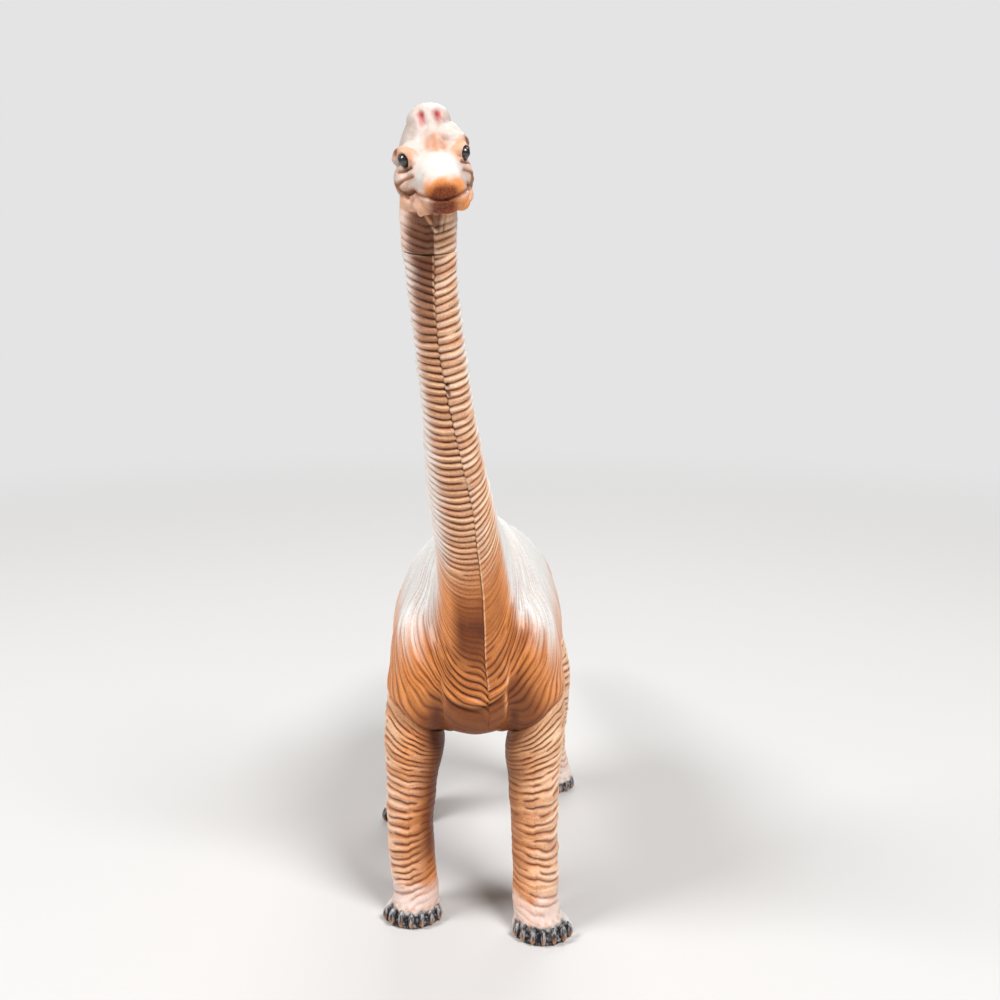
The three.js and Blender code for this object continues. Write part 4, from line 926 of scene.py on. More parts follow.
def makeTail(name):
    shape = tailShape
    rows = np.array([
        (swing * shape["swing"], shape["gap"] + along * (shape["length"] - 0.2),
         -drop * shape["drop"], girth * shape["radius"])
        for along, drop, swing, girth in shape["rows"]])
    root = bodySections([0])[0][0]
    count = int(shape["length"] / shape["rowSpacing"])
    shares = np.concatenate([[0, 0.001], np.linspace(0.004, 1, count)])
    data = splineAt(rows, shares)
    radius = data[:, 3].copy()
    radius[:3] *= [0.95, 0.985, 0.997]
    radius[-2:] *= [0.9, 0.6]
    forward = unit(np.gradient(data[:, :3], axis=0))
    forward[:3] = [0, 1, 0]
    sideways = unit(np.cross(forward, [0, 0, 1]))
    up = np.cross(sideways, forward)
    angles = np.linspace(0, 2 * math.pi, shape["columns"], endpoint=False)
    ring = (np.sin(angles)[None, :, None] * sideways[:, None, :]
            + np.cos(angles)[None, :, None] * up[:, None, :])
    grid = data[:, None, :3] + ring * radius[:, None, None] + root
    travel = shares[:, None] * shape["length"]
    cycles = travel / shape["foldPitch"] / (0.45 + 0.55 * radius[:, None] / shape["radius"])
    cycles = cycles + 0.3 * np.cos(angles)[None, :]
    depth = shape["foldDepth"] * np.sqrt(radius[:, None] / shape["radius"])
    depth = depth * smoothStep(shares, 0.0, 0.05)[:, None]
    depth = depth * smoothStep(-shares, -0.97, -0.85)[:, None]
    top = np.cos(angles)[None, :] + 0.2 * wave(grid, 18, 31)
    return gridMesh(name, grid, {
        "foldCycle": cycles, "foldDepth": np.broadcast_to(depth, grid.shape[:2]) * mm,
        "pale": 0.95 * smoothStep(top, -0.5, 0.75), "dark": 0.5 * smoothStep(-top, 0.3, 1),
        "blue": smoothStep(top, 0.1, 0.9) * 0.8, "seamLine": np.zeros(grid.shape[:2]),
        "peach": np.full(grid.shape[:2], 0.5), "foldBreak": np.full(grid.shape[:2], 0.3),
    })


# Head

headShape = {
    "length": 45, "height": 29, "halfWidth": 12.0, "rise": 25.8, "ahead": 2.0, "aside": 1.5,
    "pitch": 27, "roll": 8, "yaw": 8, "middle": 0.33, "eyeRadius": 1.9, "eye": (0.75, 0.165, 0.17),
    # share of the length, then top, bottom and half width, and how low a section is widest
    "rows": [
        (0.0, 0.08, -0.04, 0.14, 0), (0.03, 0.28, -0.22, 0.5, 0.1), (0.1, 0.5, -0.34, 0.75, 0.3),
        (0.19, 0.568, -0.4, 0.8, 0.46), (0.28, 0.535, -0.42, 0.85, 0.5),
        (0.37, 0.4, -0.42, 0.93, 0.44), (0.48, 0.275, -0.385, 0.93, 0.2),
        (0.6, 0.25, -0.32, 0.77, 0.05), (0.72, 0.25, -0.24, 0.64, 0),
        (0.84, 0.25, -0.2, 0.56, 0), (0.925, 0.22, -0.165, 0.5, 0), (0.972, 0.15, -0.11, 0.38, 0),
        (0.99, 0.07, -0.03, 0.15, 0),
    ],
    # share of the head's rise over the neck's end, then radius and how far back
    "throat": [(0, 1, 0), (0.2, 1.02, 0), (0.42, 1.04, 0.02), (0.66, 0.98, 0.06),
               (0.85, 0.8, 0.08)],
    # swellings on each side: place in shares of half width, length and height, then half sizes
    "crest": ((0.06, -0.15, 0.375), (6.9, 6.2, 5.2)),
    "leftSwellings": [((0.62, 0.04, 0.235), (3.3, 4.6, 3.3)),
                      ((0.4, 0.0, 0.27), (3.8, 5.0, 3.4))],
    "rightSwellings": [((0.8, 0.13, -0.07), (3.4, 6.6, 4.8)),
                       ((0.74, 0.28, -0.2), (2.6, 5.4, 2.7))],
    "swellings": [
        ((0.667, 0.142, 0.169), (3.0, 3.4, 3.0)), ((0.64, 0.09, -0.14), (3.7, 8.2, 4.5)),
        ((0.33, 0.5, -0.02), (3.6, 7.2, 3.1)), ((0.46, 0.07, 0.18), (4.5, 6.4, 3.2)),
        ((0.6, 0.17, -0.25), (3.5, 6.6, 3.0)), ((0.42, 0.36, -0.19), (3.6, 7.0, 2.4)),
    ],
    "brow": {
        1: [(0.84, 0.04, 0.205), (0.76, 0.05, 0.265), (0.66, 0.01, 0.31), (0.56, -0.05, 0.335)],
        -1: [(0.9, 0.07, 0.13), (0.85, 0.08, 0.2), (0.74, 0.12, 0.24), (0.61, 0.17, 0.232),
             (0.5, 0.23, 0.17)],
    },
    "browRadius": 1.7, "jaw": ((0, 0.43, -0.115), (6.8, 10.6, 2.4)),
    "nostrils": [[(0.275, -0.05, 0.505), (0.285, -0.01, 0.45)],
                 [(-0.165, -0.05, 0.5), (-0.155, 0.0, 0.43)]],
    # in millimetres: the nostrils' pits, the folds of skin under the chin, the lids and the throat
    "nostrilDepth": (0.95, 0.55), "nostrilWidth": 0.85, "chinFolds": 0.75, "chinWidth": 0.45,
    "chinArms": [[(-1.6, 14.5), (2.9, 7.6)], [(5.2, 14.5), (4.1, 7.4)]], "chinFrom": (5.5, 7),
    "lidRadius": 2.75, "lidWidth": 0.55, "lidRise": 0.5, "beadReach": 1.7,
    "uneven": (0.14, 5.5, 71), "throatEnd": (12.2, 14.5), "throatFolds": 0.42,
    "foldEnd": (7.5, 11.5), "seamAside": 2.1, "look": (0.05, -0.994, -0.096),
    "voxel": 0.4, "smoothing": 5,
}


def skullMatrix():
    shape = headShape
    centre = bodySections([lastPlace])[0][0]
    turn = Matrix.Rotation(math.radians(shape["yaw"]), 3, "Z")
    turn = turn @ Matrix.Rotation(math.radians(-shape["roll"]), 3, "Y")
    turn = turn @ Matrix.Rotation(math.radians(shape["pitch"]), 3, "X")
    place = centre + np.array([shape["aside"], -shape["ahead"], shape["rise"]])
    return np.array(turn), place


skullTurn, skullPlace = skullMatrix()


def fromSkull(points):
    return np.asarray(points, float) @ skullTurn.T + skullPlace


def toSkull(points):
    return (np.asarray(points, float) - skullPlace) @ skullTurn


def skullPoint(side, across, ahead, up):  # shares of the skull's half width, length and height
    return np.array([side * across * headShape["halfWidth"], -ahead * headShape["length"],
                     up * headShape["height"]])


def skullGrid():
    shape = headShape
    rows = np.array([((shape["middle"] - at) * shape["length"], top * shape["height"],
                      bottom * shape["height"], width * shape["halfWidth"], egg)
                     for at, top, bottom, width, egg in shape["rows"]])
    data = splineAt(rows, np.linspace(0, 1, 90))
    angles = np.linspace(0, 2 * math.pi, 96, endpoint=False)
    middle, half = (data[:, 1] + data[:, 2]) / 2, (data[:, 1] - data[:, 2]) / 2
    x = np.sin(angles)[None, :] * data[:, 3:4] * (1 - data[:, 4:5] * np.cos(angles)[None, :])
    z = middle[:, None] + half[:, None] * np.cos(angles)[None, :]
    y = np.broadcast_to(data[:, :1], x.shape)
    return fromSkull(np.stack([x, y, z], -1))


def throatGrid():
    shape, radius = headShape, bodyShape["neckRadius"]
    centre, up = (value[0] for value in bodySections([lastPlace])[:2])
    axis = np.cross([1, 0, 0], up)
    rows = splineAt(np.array(shape["throat"], float), np.linspace(0, 1, 50))
    rows = np.vstack([[0, 0.94, 0], [0.004, 0.985, 0], rows[1:]])
    angles = np.linspace(0, 2 * math.pi, 84, endpoint=False)
    x = np.sin(angles)[None, :] * rows[:, 1:2] * radius
    y = np.cos(angles)[None, :] * rows[:, 1:2] * radius + rows[:, 2:3] * shape["rise"]
    z = np.broadcast_to(0.3 + rows[:, :1] * shape["rise"], x.shape)
    return (centre + x[..., None] * np.array([1, 0, 0]) + y[..., None] * up + z[..., None] * axis)


def ball(middle, halves, steps=40):
    v = np.linspace(0.02, math.pi - 0.02, steps)
    u = np.linspace(0, 2 * math.pi, steps * 2, endpoint=False)
    x, y = np.sin(v)[:, None] * np.cos(u)[None, :], np.sin(v)[:, None] * np.sin(u)[None, :]
    grid = np.stack([x, y, np.broadcast_to(np.cos(v)[:, None], x.shape)], -1)
    return grid * np.asarray(halves) + np.asarray(middle)


def remeshed(parts, voxel, smoothing):  # one closed skin round several overlapping forms
    bpy.ops.object.select_all(action="DESELECT")
    for part in parts:
        part.select_set(True)
    bpy.context.view_layer.objects.active = parts[0]
    bpy.ops.object.join()
    piece = bpy.context.view_layer.objects.active
    remesh = piece.modifiers.new("oneSkin", "REMESH")
    remesh.mode, remesh.voxel_size = "VOXEL", voxel * mm
    relax = piece.modifiers.new("relax", "SMOOTH")
    relax.factor, relax.iterations = 0.5, smoothing
    depsgraph = bpy.context.evaluated_depsgraph_get()
    result = bpy.data.meshes.new_from_object(piece.evaluated_get(depsgraph), depsgraph=depsgraph)
    piece.modifiers.clear()
    old, piece.data = piece.data, result
    bpy.data.meshes.remove(old)
    return piece


def meshPoints(piece):
    points = np.zeros(len(piece.data.vertices) * 3)
    piece.data.vertices.foreach_get("co", points)
    normals = np.zeros(len(points))
    piece.data.vertices.foreach_get("normal", normals)
    return points.reshape(-1, 3) / mm - figureShift, normals.reshape(-1, 3)


def setPoints(piece, points, attributes):
    flat = ((points + figureShift) * mm).astype(np.float32).ravel()
    piece.data.vertices.foreach_set("co", flat)
    for key, values in attributes.items():
        layer = piece.data.attributes.get(key) or piece.data.attributes.new(key, "FLOAT", "POINT")
        layer.data.foreach_set("value", np.asarray(values, np.float32))
    piece.data.shade_smooth()
    piece.data.update()


def lineGap(points, path, look=None):  # distance to a path, or as it is seen along a look
    best, path = np.full(len(points), 1e9), np.asarray(path, float)
    if look is not None:
        points, path = (p - (p @ look)[:, None] * look for p in (points, path))
    for a, b in zip(path[:-1], path[1:]):
        step = b - a
        share = np.clip(((points - a) @ step) / (step @ step), 0, 1)
        best = np.minimum(best, np.linalg.norm(points - a - share[:, None] * step, axis=1))
    return best


# lines in the head's skin, in shares of half width, length and height: path, width, depth; a
# negative depth is a raised line
headCreases = [
    ([(0, 0.672, 0.016), (0.28, 0.66, 0.03), (0.5, 0.61, 0.04), (0.63, 0.5, 0.0),
      (0.69, 0.37, -0.05), (0.78, 0.257, -0.13)], 0.4, 0.55),
    ([(0.92, 0.13, 0.035), (0.78, 0.2, 0.08), (0.64, 0.245, 0.13)], 0.36, 0.55),
    ([(0.98, 0.15, -0.09), (0.82, 0.23, 0.0), (0.66, 0.31, 0.075)], 0.45, 0.6),
    ([(0.9, 0.27, -0.12), (0.8, 0.34, -0.085), (0.7, 0.36, -0.055)], 0.7, 0.6),
    ([(1.0, 0.02, -0.16), (0.88, 0.14, -0.2), (0.76, 0.2, -0.21)], 0.45, 0.4),
    ([(0.93, 0.03, 0.24), (0.96, 0.08, 0.19)], 0.6, 0.6),
    ([(0.86, 0.23, -0.25), (0.64, 0.32, -0.25), (0.5, 0.48, -0.17), (0.3, 0.62, -0.1)], 0.9, -0.3),
    ([(0.9, 0.19, -0.04), (0.76, 0.27, 0.03)], 0.8, -0.35),
]


def headSpace(points):  # where points lie round the neck's end: front share, side and rise
    centre, up = (value[0] for value in bodySections([lastPlace])[:2])
    rel = points - centre
    axis = np.cross([1, 0, 0], up)
    rise = rel @ axis
    back, aside = rel @ up, rel[:, 0]
    return (1 - back / np.maximum(np.hypot(back, aside), 1e-6)) / 2, aside, rise


# Where the paint lies on the head: steps along it, upwards and sideways in shares of its size;
# spots are a middle, half sizes, how much mist blurs them, and the ends of their step.
headPaint = {
    "mist": (3.2, 72, 10), "snoutAhead": (0.46, 0.56), "underHigh": (-0.03, 0.02),
    "tip": ((0, 2.6), (6.2, 3.5), 0.05, (-1.22, -0.72)),
    "darkTip": ((-0.6, 1.8), (5.3, 3.3), 0.06, (-1.15, -0.55)),
    "brow": ((0.9, 0.14), (4.2, 0.09), 0.15, (-1.25, -0.45)),
    "lipAhead": (0.36, 0.5), "lipAcross": (-0.25, 0.02),
    "chinAhead": (0.34, 0.48), "chinAcross": (-0.42, -0.2),
    "jawHigh": (-0.02, 0.2), "jawAhead": (0.0, 0.25),
    "cheekAcross": (0.4, 0.6), "cheekHigh": (-0.1, 0.02),
    "brightAhead": (0.08, 0.3), "brightHigh": (0, 0.12), "brightAcross": (-0.75, -0.45),
    "blueAhead": (0.22, 0.4),
    "glaze": {"snout": 1.1, "brow": 0.6, "lip": 0.95, "socket": 0.65, "jaw": 0.42, "cheek": 0.22,
              "crease": 0.6},
    "burnt": {"brow": 0.3, "crease": 0.22},
}


def headForms():  # skull, throat, jaw, crest, cheeks and brows, as separate closed forms
    shape = headShape
    parts = [gridMesh("skullForm", skullGrid(), {}), gridMesh("throatForm", throatGrid(), {})]
    balls = [(1, *shape["jaw"]), (1, *shape["crest"])]
    for side, own in ((-1, shape["rightSwellings"]), (1, shape["leftSwellings"])):
        balls += [(side, middle, halves) for middle, halves in shape["swellings"] + own]
        balls += [(side, place, [shape["browRadius"]] * 3, 14)
                  for place in splineAt(shape["brow"][side], np.linspace(0, 1, 11))]
    for side, middle, *size in balls:
        form = fromSkull(ball(skullPoint(side, *middle), *size))
        parts.append(gridMesh("headForm", form, {}))
    return parts


def makeHead(name):
    shape = headShape
    size = np.array([shape["halfWidth"], -shape["length"], shape["height"]])
    piece = remeshed(headForms(), shape["voxel"], shape["smoothing"])
    piece.name = name
    points, normals = meshPoints(piece)
    local = toSkull(points)
    turned = normals @ skullTurn
    across, ahead, high = (local / size).T
    front, aside, rise = headSpace(points)
    onThroat = 1 - smoothStep(rise, *shape["throatEnd"])
    lift, crease, warm, nostril, socket = (np.zeros(len(points)) for _ in range(5))
    look = unit(np.array(shape["look"]) @ skullTurn)  # the way the face looks
    facing = turned @ look
    seen = smoothStep(facing, -0.05, 0.35) * (local[:, 1] < 8)
    for path, width, depth in headCreases:
        for side in (-1, 1):
            gap = lineGap(local, [np.array(p) * [side, 1, 1] * size for p in path], look)
            gap = np.where(seen > 0, gap, 99)
            lift -= depth * seen * np.exp(-(gap / width)**2)
            if depth > 0:
                crease = np.maximum(crease, np.exp(-(gap / width)**2))
                warm = np.maximum(warm, np.exp(-(gap / (width * 1.5 + 0.4))**2))
                lift += depth * 0.2 * seen * bump(gap, width * 2.4, width)
    deep, shallower = shape["nostrilDepth"]
    for path in shape["nostrils"]:
        top, bottom = (np.array(p) * size for p in path)
        slit = bottom - top
        gap = np.where(facing > 0, lineGap(local, [top, bottom], look), 99)
        below = np.clip((local - top) @ slit / (slit @ slit), 0, 1)
        lift -= (deep - shallower * below) * np.exp(-(gap / shape["nostrilWidth"])**2)
        lift += 0.1 * bump(gap, 1.9, 0.6)
        nostril = np.maximum(nostril, (1 - shallower * below) * np.exp(-(gap / 1.1)**2))
    lift = lift * (1 - onThroat)

    # the fold of skin that hangs in a V under the chin
    onFront = smoothStep(front, 0.7, 0.85) * smoothStep(rise, *shape["chinFrom"])
    unrolled = np.stack([aside, rise], 1)
    arm = np.minimum(*(lineGap(unrolled, path) for path in shape["chinArms"]))
    vFold = np.exp(-(arm / shape["chinWidth"])**2) * onFront
    lift = lift + shape["chinFolds"] * vFold
    crease = np.maximum(crease, 0.6 * bump(arm, 0.95, 0.35) * onFront * onThroat)
    inFold = (aside > np.interp(rise, [7.5, 14.5], [3.0, -1.6])) & (aside < 5.2) & (rise > 7)
    uneven, unevenSize, unevenSeed = shape["uneven"]
    lift = lift + uneven * wave(local, unevenSize, unevenSeed) * (1 - onThroat)
    moved = local + turned * lift[:, None]
    for side in (-1, 1):  # the skin opens round each bead, with a lid over it
        outLook = unit(np.array([side * 0.7, -0.7, 0.05]))
        rel = moved - skullPoint(side, *shape["eye"])
        out = rel @ outLook
        flat = rel - out[:, None] * outLook
        fromEye = np.linalg.norm(flat, axis=1)
        near = (out > -2.2) * 1.0
        lid = bump(fromEye, shape["lidRadius"], shape["lidWidth"]) * near
        lid = lid * (0.45 + 0.55 * np.clip(flat[:, 2] / shape["lidRadius"], -1, 1))
        moved = moved + outLook * (shape["lidRise"] * lid)[:, None]
        out = out + shape["lidRise"] * lid
        floor = np.sqrt(np.maximum(shape["beadReach"]**2 - fromEye**2, 0)) - 0.25
        opening = smoothStep(-fromEye, -2.35, -1.95) * near * (out > floor)
        moved = moved + outLook * ((floor - out) * opening)[:, None]
        crease = np.maximum(crease, bump(fromEye, 2.05, 0.3) * near * 0.9)
        # painted shadow round the upper, inner side of each eye, laid on as orange glaze
        shadow = 0.5 + 0.5 * np.tanh(flat[:, 2] - side * flat[:, 0] * 0.6)
        socket = np.maximum(socket, bump(fromEye, 3.3, 1.1) * near * shadow)

    # paint: white over most of it and blue-grey on the snout, whose orange glaze darkens at the tip
    paint = headPaint
    mist = wave(local, *paint["mist"])
    spots = {}
    for key, up in (("tip", local[:, 2]), ("darkTip", local[:, 2]), ("brow", ahead)):
        (x, y), (wide, tall), blur, ends = paint[key]
        away = np.hypot((local[:, 0] - x) / wide, (up - y) / tall) + blur * mist
        spots[key] = smoothStep(-away, *ends)
    snout = smoothStep(ahead, *paint["snoutAhead"])
    brow = spots["brow"] * (high > 0.1) * (0.85 + 0.15 * np.sin(local[:, 0] * 2.6 + mist))
    under = smoothStep(-high, *paint["underHigh"])
    lip = smoothStep(ahead, *paint["lipAhead"]) * under
    lip = lip * (0.6 + 0.4 * smoothStep(across, *paint["lipAcross"]))
    # the chin under the snout is darkened with the burnt colour: partly brown paint, partly painted
    # shade
    chin = smoothStep(ahead, *paint["chinAhead"])
    chin = chin * smoothStep(-np.abs(across + 0.09), *paint["chinAcross"]) * under
    jaw = smoothStep(-high, *paint["jawHigh"]) * smoothStep(ahead, *paint["jawAhead"])
    # painted light: the figure's left cheek alone is made peachier and whiter
    cheek = smoothStep(across, *paint["cheekAcross"]) * smoothStep(-high, *paint["cheekHigh"])
    share = paint["glaze"]
    glaze = np.maximum.reduce([
        share["snout"] * snout * spots["tip"], share["brow"] * brow, share["lip"] * lip,
        share["socket"] * socket, share["jaw"] * jaw, share["cheek"] * cheek,
        share["crease"] * warm])
    share = paint["burnt"]
    burnt = np.maximum.reduce([
        snout * spots["darkTip"], chin, share["crease"] * warm**2, share["brow"] * brow])
    # painted light: the top of the snout and the figure's left cheek are greyed less, so they stay
    # whiter
    bright = smoothStep(ahead, *paint["brightAhead"]) * smoothStep(high, *paint["brightHigh"])
    bright = bright * smoothStep(-np.abs(across), *paint["brightAcross"])
    greyed = np.clip(0.7 - 0.1 * bright + 0.2 * brow - 0.5 * cheek, 0, 1)
    blue = smoothStep(ahead, *paint["blueAhead"]) * smoothStep(high, *paint["brightHigh"])
    blue = 0.35 + 0.65 * blue
    seamAside = aside - shape["seamAside"]
    dark, pale, peach = neckPaint(front, seamAside, 1.0)
    dark = np.maximum(dark, 0.85 * inFold * onFront) * (1 - 0.8 * vFold)
    rounding = np.where(front > 0.5, 2 * np.sqrt(np.clip(front * (1 - front), 0, 1)), 1)
    slip = (0.5 + 0.5 * np.tanh(seamAside * 3)) * bodyFolds["slip"]
    depth = shape["throatFolds"] * mm * (1 - smoothStep(rise, *shape["foldEnd"]))
    setPoints(piece, fromSkull(moved), {
        "foldCycle": foldCycles([lastPlace])[0] + rise / foldRow(lastPlace, 1)
        + slip - 0.9 * rounding,
        "foldDepth": depth * smoothStep(rise, 0.3, 1.5), "foldBreak": np.full(len(points), 0.24),
        "pale": pale * onThroat + (1 - onThroat) * (1.0 - 0.3 * smoothStep(-high, 0.0, 0.25)),
        "dark": dark * onThroat, "peach": peach * onThroat + (1 - onThroat),
        "blue": np.clip(blue, 0, 1) * (1 - 0.65 * onThroat),
        "glaze": np.clip(glaze, 0, 1) * (1 - onThroat),
        "burnt": np.clip(burnt, 0, 1) * (1 - onThroat),
        "seamLine": np.clip(crease, 0, 1) * 0.85, "nostril": nostril,
        "greyed": greyed * (1 - onThroat),
    })
    return piece


def makeEye(name, side):
    radius = headShape["eyeRadius"] * 0.98
    bead = ball(skullPoint(side, *headShape["eye"]), [radius] * 3, 36)
    return gridMesh(name, fromSkull(bead), {})


# Materials

def newMaterial(name):
    material = bpy.data.materials.new(name)
    material.use_nodes = True
    material.node_tree.nodes.clear()
    return material, material.node_tree


def paintedSkin(name, paint):
    # Soft PVC, cast in orange-brown, with a dark wash that sits in the folds, dry-brushed peach on
    # the ridges and a pale airbrushed coat: a satin, slightly waxy surface. The attributes also lay
    # in painted shade, under folds and in shaded places, and painted highlights.
    material, tree = newMaterial(name)
    place = addNode(tree, "ShaderNodeTexCoord").outputs["Object"]
    made = {}
    for key in ("crease", "pale", "dark", "blue", "foldUndersideShade", "streak", "peach", "greyed",
                "glaze", "burnt", "seamLine", "nostril", "soot"):
        made[key] = addNode(tree, "ShaderNodeAttribute", {"attribute_name": key}).outputs["Fac"]
    # blots of paint: size in millimetres, detail, and the ends where it is cut, if at all. The
    # specks of a dry brush and the vinyl's own grain are finer, and are drawn this coarse to show.
    for key, size, detail, low, high in (
            ("speck", 0.55, 2.0, 0.36, 0.64), ("cloud", 4.5, 3.0, 0.3, 0.7),
            ("patch", 0.8, 3.0, 0.3, 0.6), ("sootCloud", 1.1, 3.0, 0.48, 0.66),
            ("gloss", 1.6, 3.0, 0, 0), ("grain", 0.5, 2.0, 0, 0)):
        made[key] = addNode(tree, "ShaderNodeTexNoise", inputs={
            "Vector": place, "Scale": 1 / (size * mm), "Detail": detail}).outputs[0]
        if high > low:
            made[key] = addNode(tree, "ShaderNodeMapRange", {"interpolation_type": "SMOOTHSTEP"}, {
                "Value": made[key], "From Min": low, "From Max": high}).outputs[0]
    made["bristle"] = addNode(tree, "ShaderNodeMapRange", {"interpolation_type": "SMOOTHSTEP"}, {
        "Value": made["streak"], "From Min": 0.38, "From Max": 0.62}).outputs[0]
    addNodes(tree, made, "ShaderNodeMath", [
        ("shadeCloud", "MULTIPLY_ADD", "cloud", 0.2, 0.8),
        ("shadeShare", "MULTIPLY", "dark", "shadeCloud"),
        ("ridge", "SUBTRACT", 1.0, "crease"),
        ("ridgeTop", "POWER", "ridge", 2.0),
        ("bristlePart", "MULTIPLY", "bristle", 0.65),
        ("brushMarks", "MULTIPLY_ADD", "speck", 0.35, "bristlePart"),
        ("brushCover", "MULTIPLY_ADD", "brushMarks", 0.65, 0.35),
        ("brushed", "MULTIPLY", "ridgeTop", "brushCover"),
        ("notDark", "MULTIPLY_ADD", "dark", -0.92, 1.0),
        ("brushedLight", "MULTIPLY", "brushed", "notDark"),
        # painted shade: on the underside of each fold the dry-brush is thinned
        ("notBelow", "MULTIPLY_ADD", "foldUndersideShade", -0.2, 1.0),
        ("brushShare", "MULTIPLY", "brushedLight", "notBelow"),
        ("bristleGap", "SUBTRACT", 1.0, "bristle"),
        ("bare", "SUBTRACT", 1.15, "pale"),
        ("scratched", "MULTIPLY", "bristleGap", "bare"),
        ("unscratched", "SUBTRACT", 1.0, "scratched"),
        ("patched", "MULTIPLY_ADD", "patch", 0.25, 0.75),
        ("sprayed", "MULTIPLY", "pale", "patched"),
        ("sprayedThin", "MULTIPLY", "sprayed", "unscratched"),
        ("creaseCut", "MULTIPLY", "crease", 0.6),
        # painted shade: on the underside of each fold the pale coat is thinned
        ("belowCut", "MULTIPLY", "foldUndersideShade", 0.35),
        ("spared", "MAXIMUM", "creaseCut", "belowCut"),
        ("reached", "SUBTRACT", 1.0, "spared"),
        ("sprayShare", "MULTIPLY", "sprayedThin", "reached"),
        ("washDepth", "MULTIPLY_ADD", "pale", -0.35, paint["wash"]),
        ("washShare", "MULTIPLY", "crease", "washDepth"),
        ("mist", "MULTIPLY_ADD", "speck", 0.15, 0.85),
        ("glazeShare", "MULTIPLY", "glaze", "mist"),
        ("burntShare", "MULTIPLY", "burnt", "mist"),
        ("seamShare", "MULTIPLY", "seamLine", 0.75),
    ], use_clamp=True)
    for key, share, under, over in (  # first the mixed colours, then coat over coat
            ("ridgePaint", "peach", paint["orange"], paint["peach"]),
            ("palePaint", "blue", paint["paleWarm"], paint["paleCool"]),
            ("sprayPaint", "greyed", "palePaint", paint["paleGrey"]),
            ("washPaint", "pale", paint["washColour"], paint["washPale"]),
            ("sootPaint", "sootCloud", paint["soot"], paint["sootLight"]),
            ("cast", "cloud", paint["base"], paint["baseLight"]),
            # painted shade: the dark attribute turns the colour towards the shade colour (on the
            # neck it is partly brown paint)
            ("shadedCast", "shadeShare", "cast", paint["shade"]),
            ("ridged", "brushShare", "shadedCast", "ridgePaint"),
            ("coated", "sprayShare", "ridged", "sprayPaint"),
            ("washed", "washShare", "coated", "washPaint"),
            ("glazed", "glazeShare", "washed", paint["glaze"]),
            ("darkened", "burntShare", "glazed", paint["burnt"]),
            ("seamed", "seamShare", "darkened", paint["washColour"]),
            ("reddened", "nostril", "seamed", paint["nostril"]),
            ("finished", "soot", "reddened", "sootPaint")):
        made[key] = addNode(tree, "ShaderNodeMix", {"data_type": "RGBA"}, {
            0: made[share], 6: made.get(under, under), 7: made.get(over, over)}).outputs[2]
    rough = addNode(tree, "ShaderNodeMapRange", inputs={
        "Value": made["gloss"], "From Min": 0.3, "From Max": 0.7,
        "To Min": paint["rough"] - 0.06, "To Max": paint["rough"] + 0.08}).outputs[0]
    grain = addNode(tree, "ShaderNodeBump", inputs={
        "Strength": 0.3, "Distance": 0.0001, "Height": made["grain"]}).outputs[0]
    shader = addNode(tree, "ShaderNodeBsdfPrincipled", inputs={
        "Base Color": made["finished"], "Roughness": rough, "IOR": 1.53,
        "Specular IOR Level": 0.28, "Normal": grain})
    addNode(tree, "ShaderNodeOutputMaterial", inputs={0: shader.outputs[0]})
    return material


skinPaint = {
    "base": "#9c4c15", "baseLight": "#b86624", "shade": "#4f1a03", "orange": "#e48e44",
    "peach": "#fcd9b4", "paleWarm": "#e6cdc4", "paleCool": "#e0e8e9", "paleGrey": "#b3aca8",
    "washColour": "#3d1202", "washPale": "#8a6252", "wash": 0.92,
    "glaze": "#dc8438", "burnt": "#6e2b0b", "nostril": "#b01c28",
    "soot": "#2b282a", "sootLight": "#8f8c8c", "rough": 0.44,
}


def paintedClaw(name):
    # The same soft PVC under charcoal paint, dry-brushed grey, with a warm brown-orange tip. A
    # brush leaves marks a quarter of a millimetre wide, drawn at 0.9 mm so that they show.
    material, tree = newMaterial(name)
    place = addNode(tree, "ShaderNodeTexCoord").outputs["Object"]
    share = addNode(tree, "ShaderNodeAttribute", {"attribute_name": "clawShare"}).outputs["Fac"]
    streak = addNode(tree, "ShaderNodeTexNoise", inputs={
        "Vector": addNode(tree, "ShaderNodeMapping", inputs={
            "Vector": place, "Scale": (1.0, 1.0, 0.2)}).outputs[0],
        "Scale": 1 / (0.9 * mm), "Detail": 2.0}).outputs[0]
    dusty = addNode(tree, "ShaderNodeMapRange", {"interpolation_type": "SMOOTHSTEP"}, {
        "Value": streak, "From Min": 0.42, "From Max": 0.62}).outputs[0]
    body = addNode(tree, "ShaderNodeMix", {"data_type": "RGBA"}, {
        0: dusty, 6: "#2f2b2d", 7: "#989496"}).outputs[2]
    warm = addNode(tree, "ShaderNodeMapRange", {"interpolation_type": "SMOOTHSTEP"}, {
        "Value": share, "From Min": 0.45, "From Max": 1.1}).outputs[0]
    colour = addNode(tree, "ShaderNodeMix", {"data_type": "RGBA"}, {
        0: warm, 6: body, 7: "#d58f52"}).outputs[2]
    shader = addNode(tree, "ShaderNodeBsdfPrincipled", inputs={
        "Base Color": colour, "Roughness": 0.42, "IOR": 1.53})
    addNode(tree, "ShaderNodeOutputMaterial", inputs={0: shader.outputs[0]})
    return material


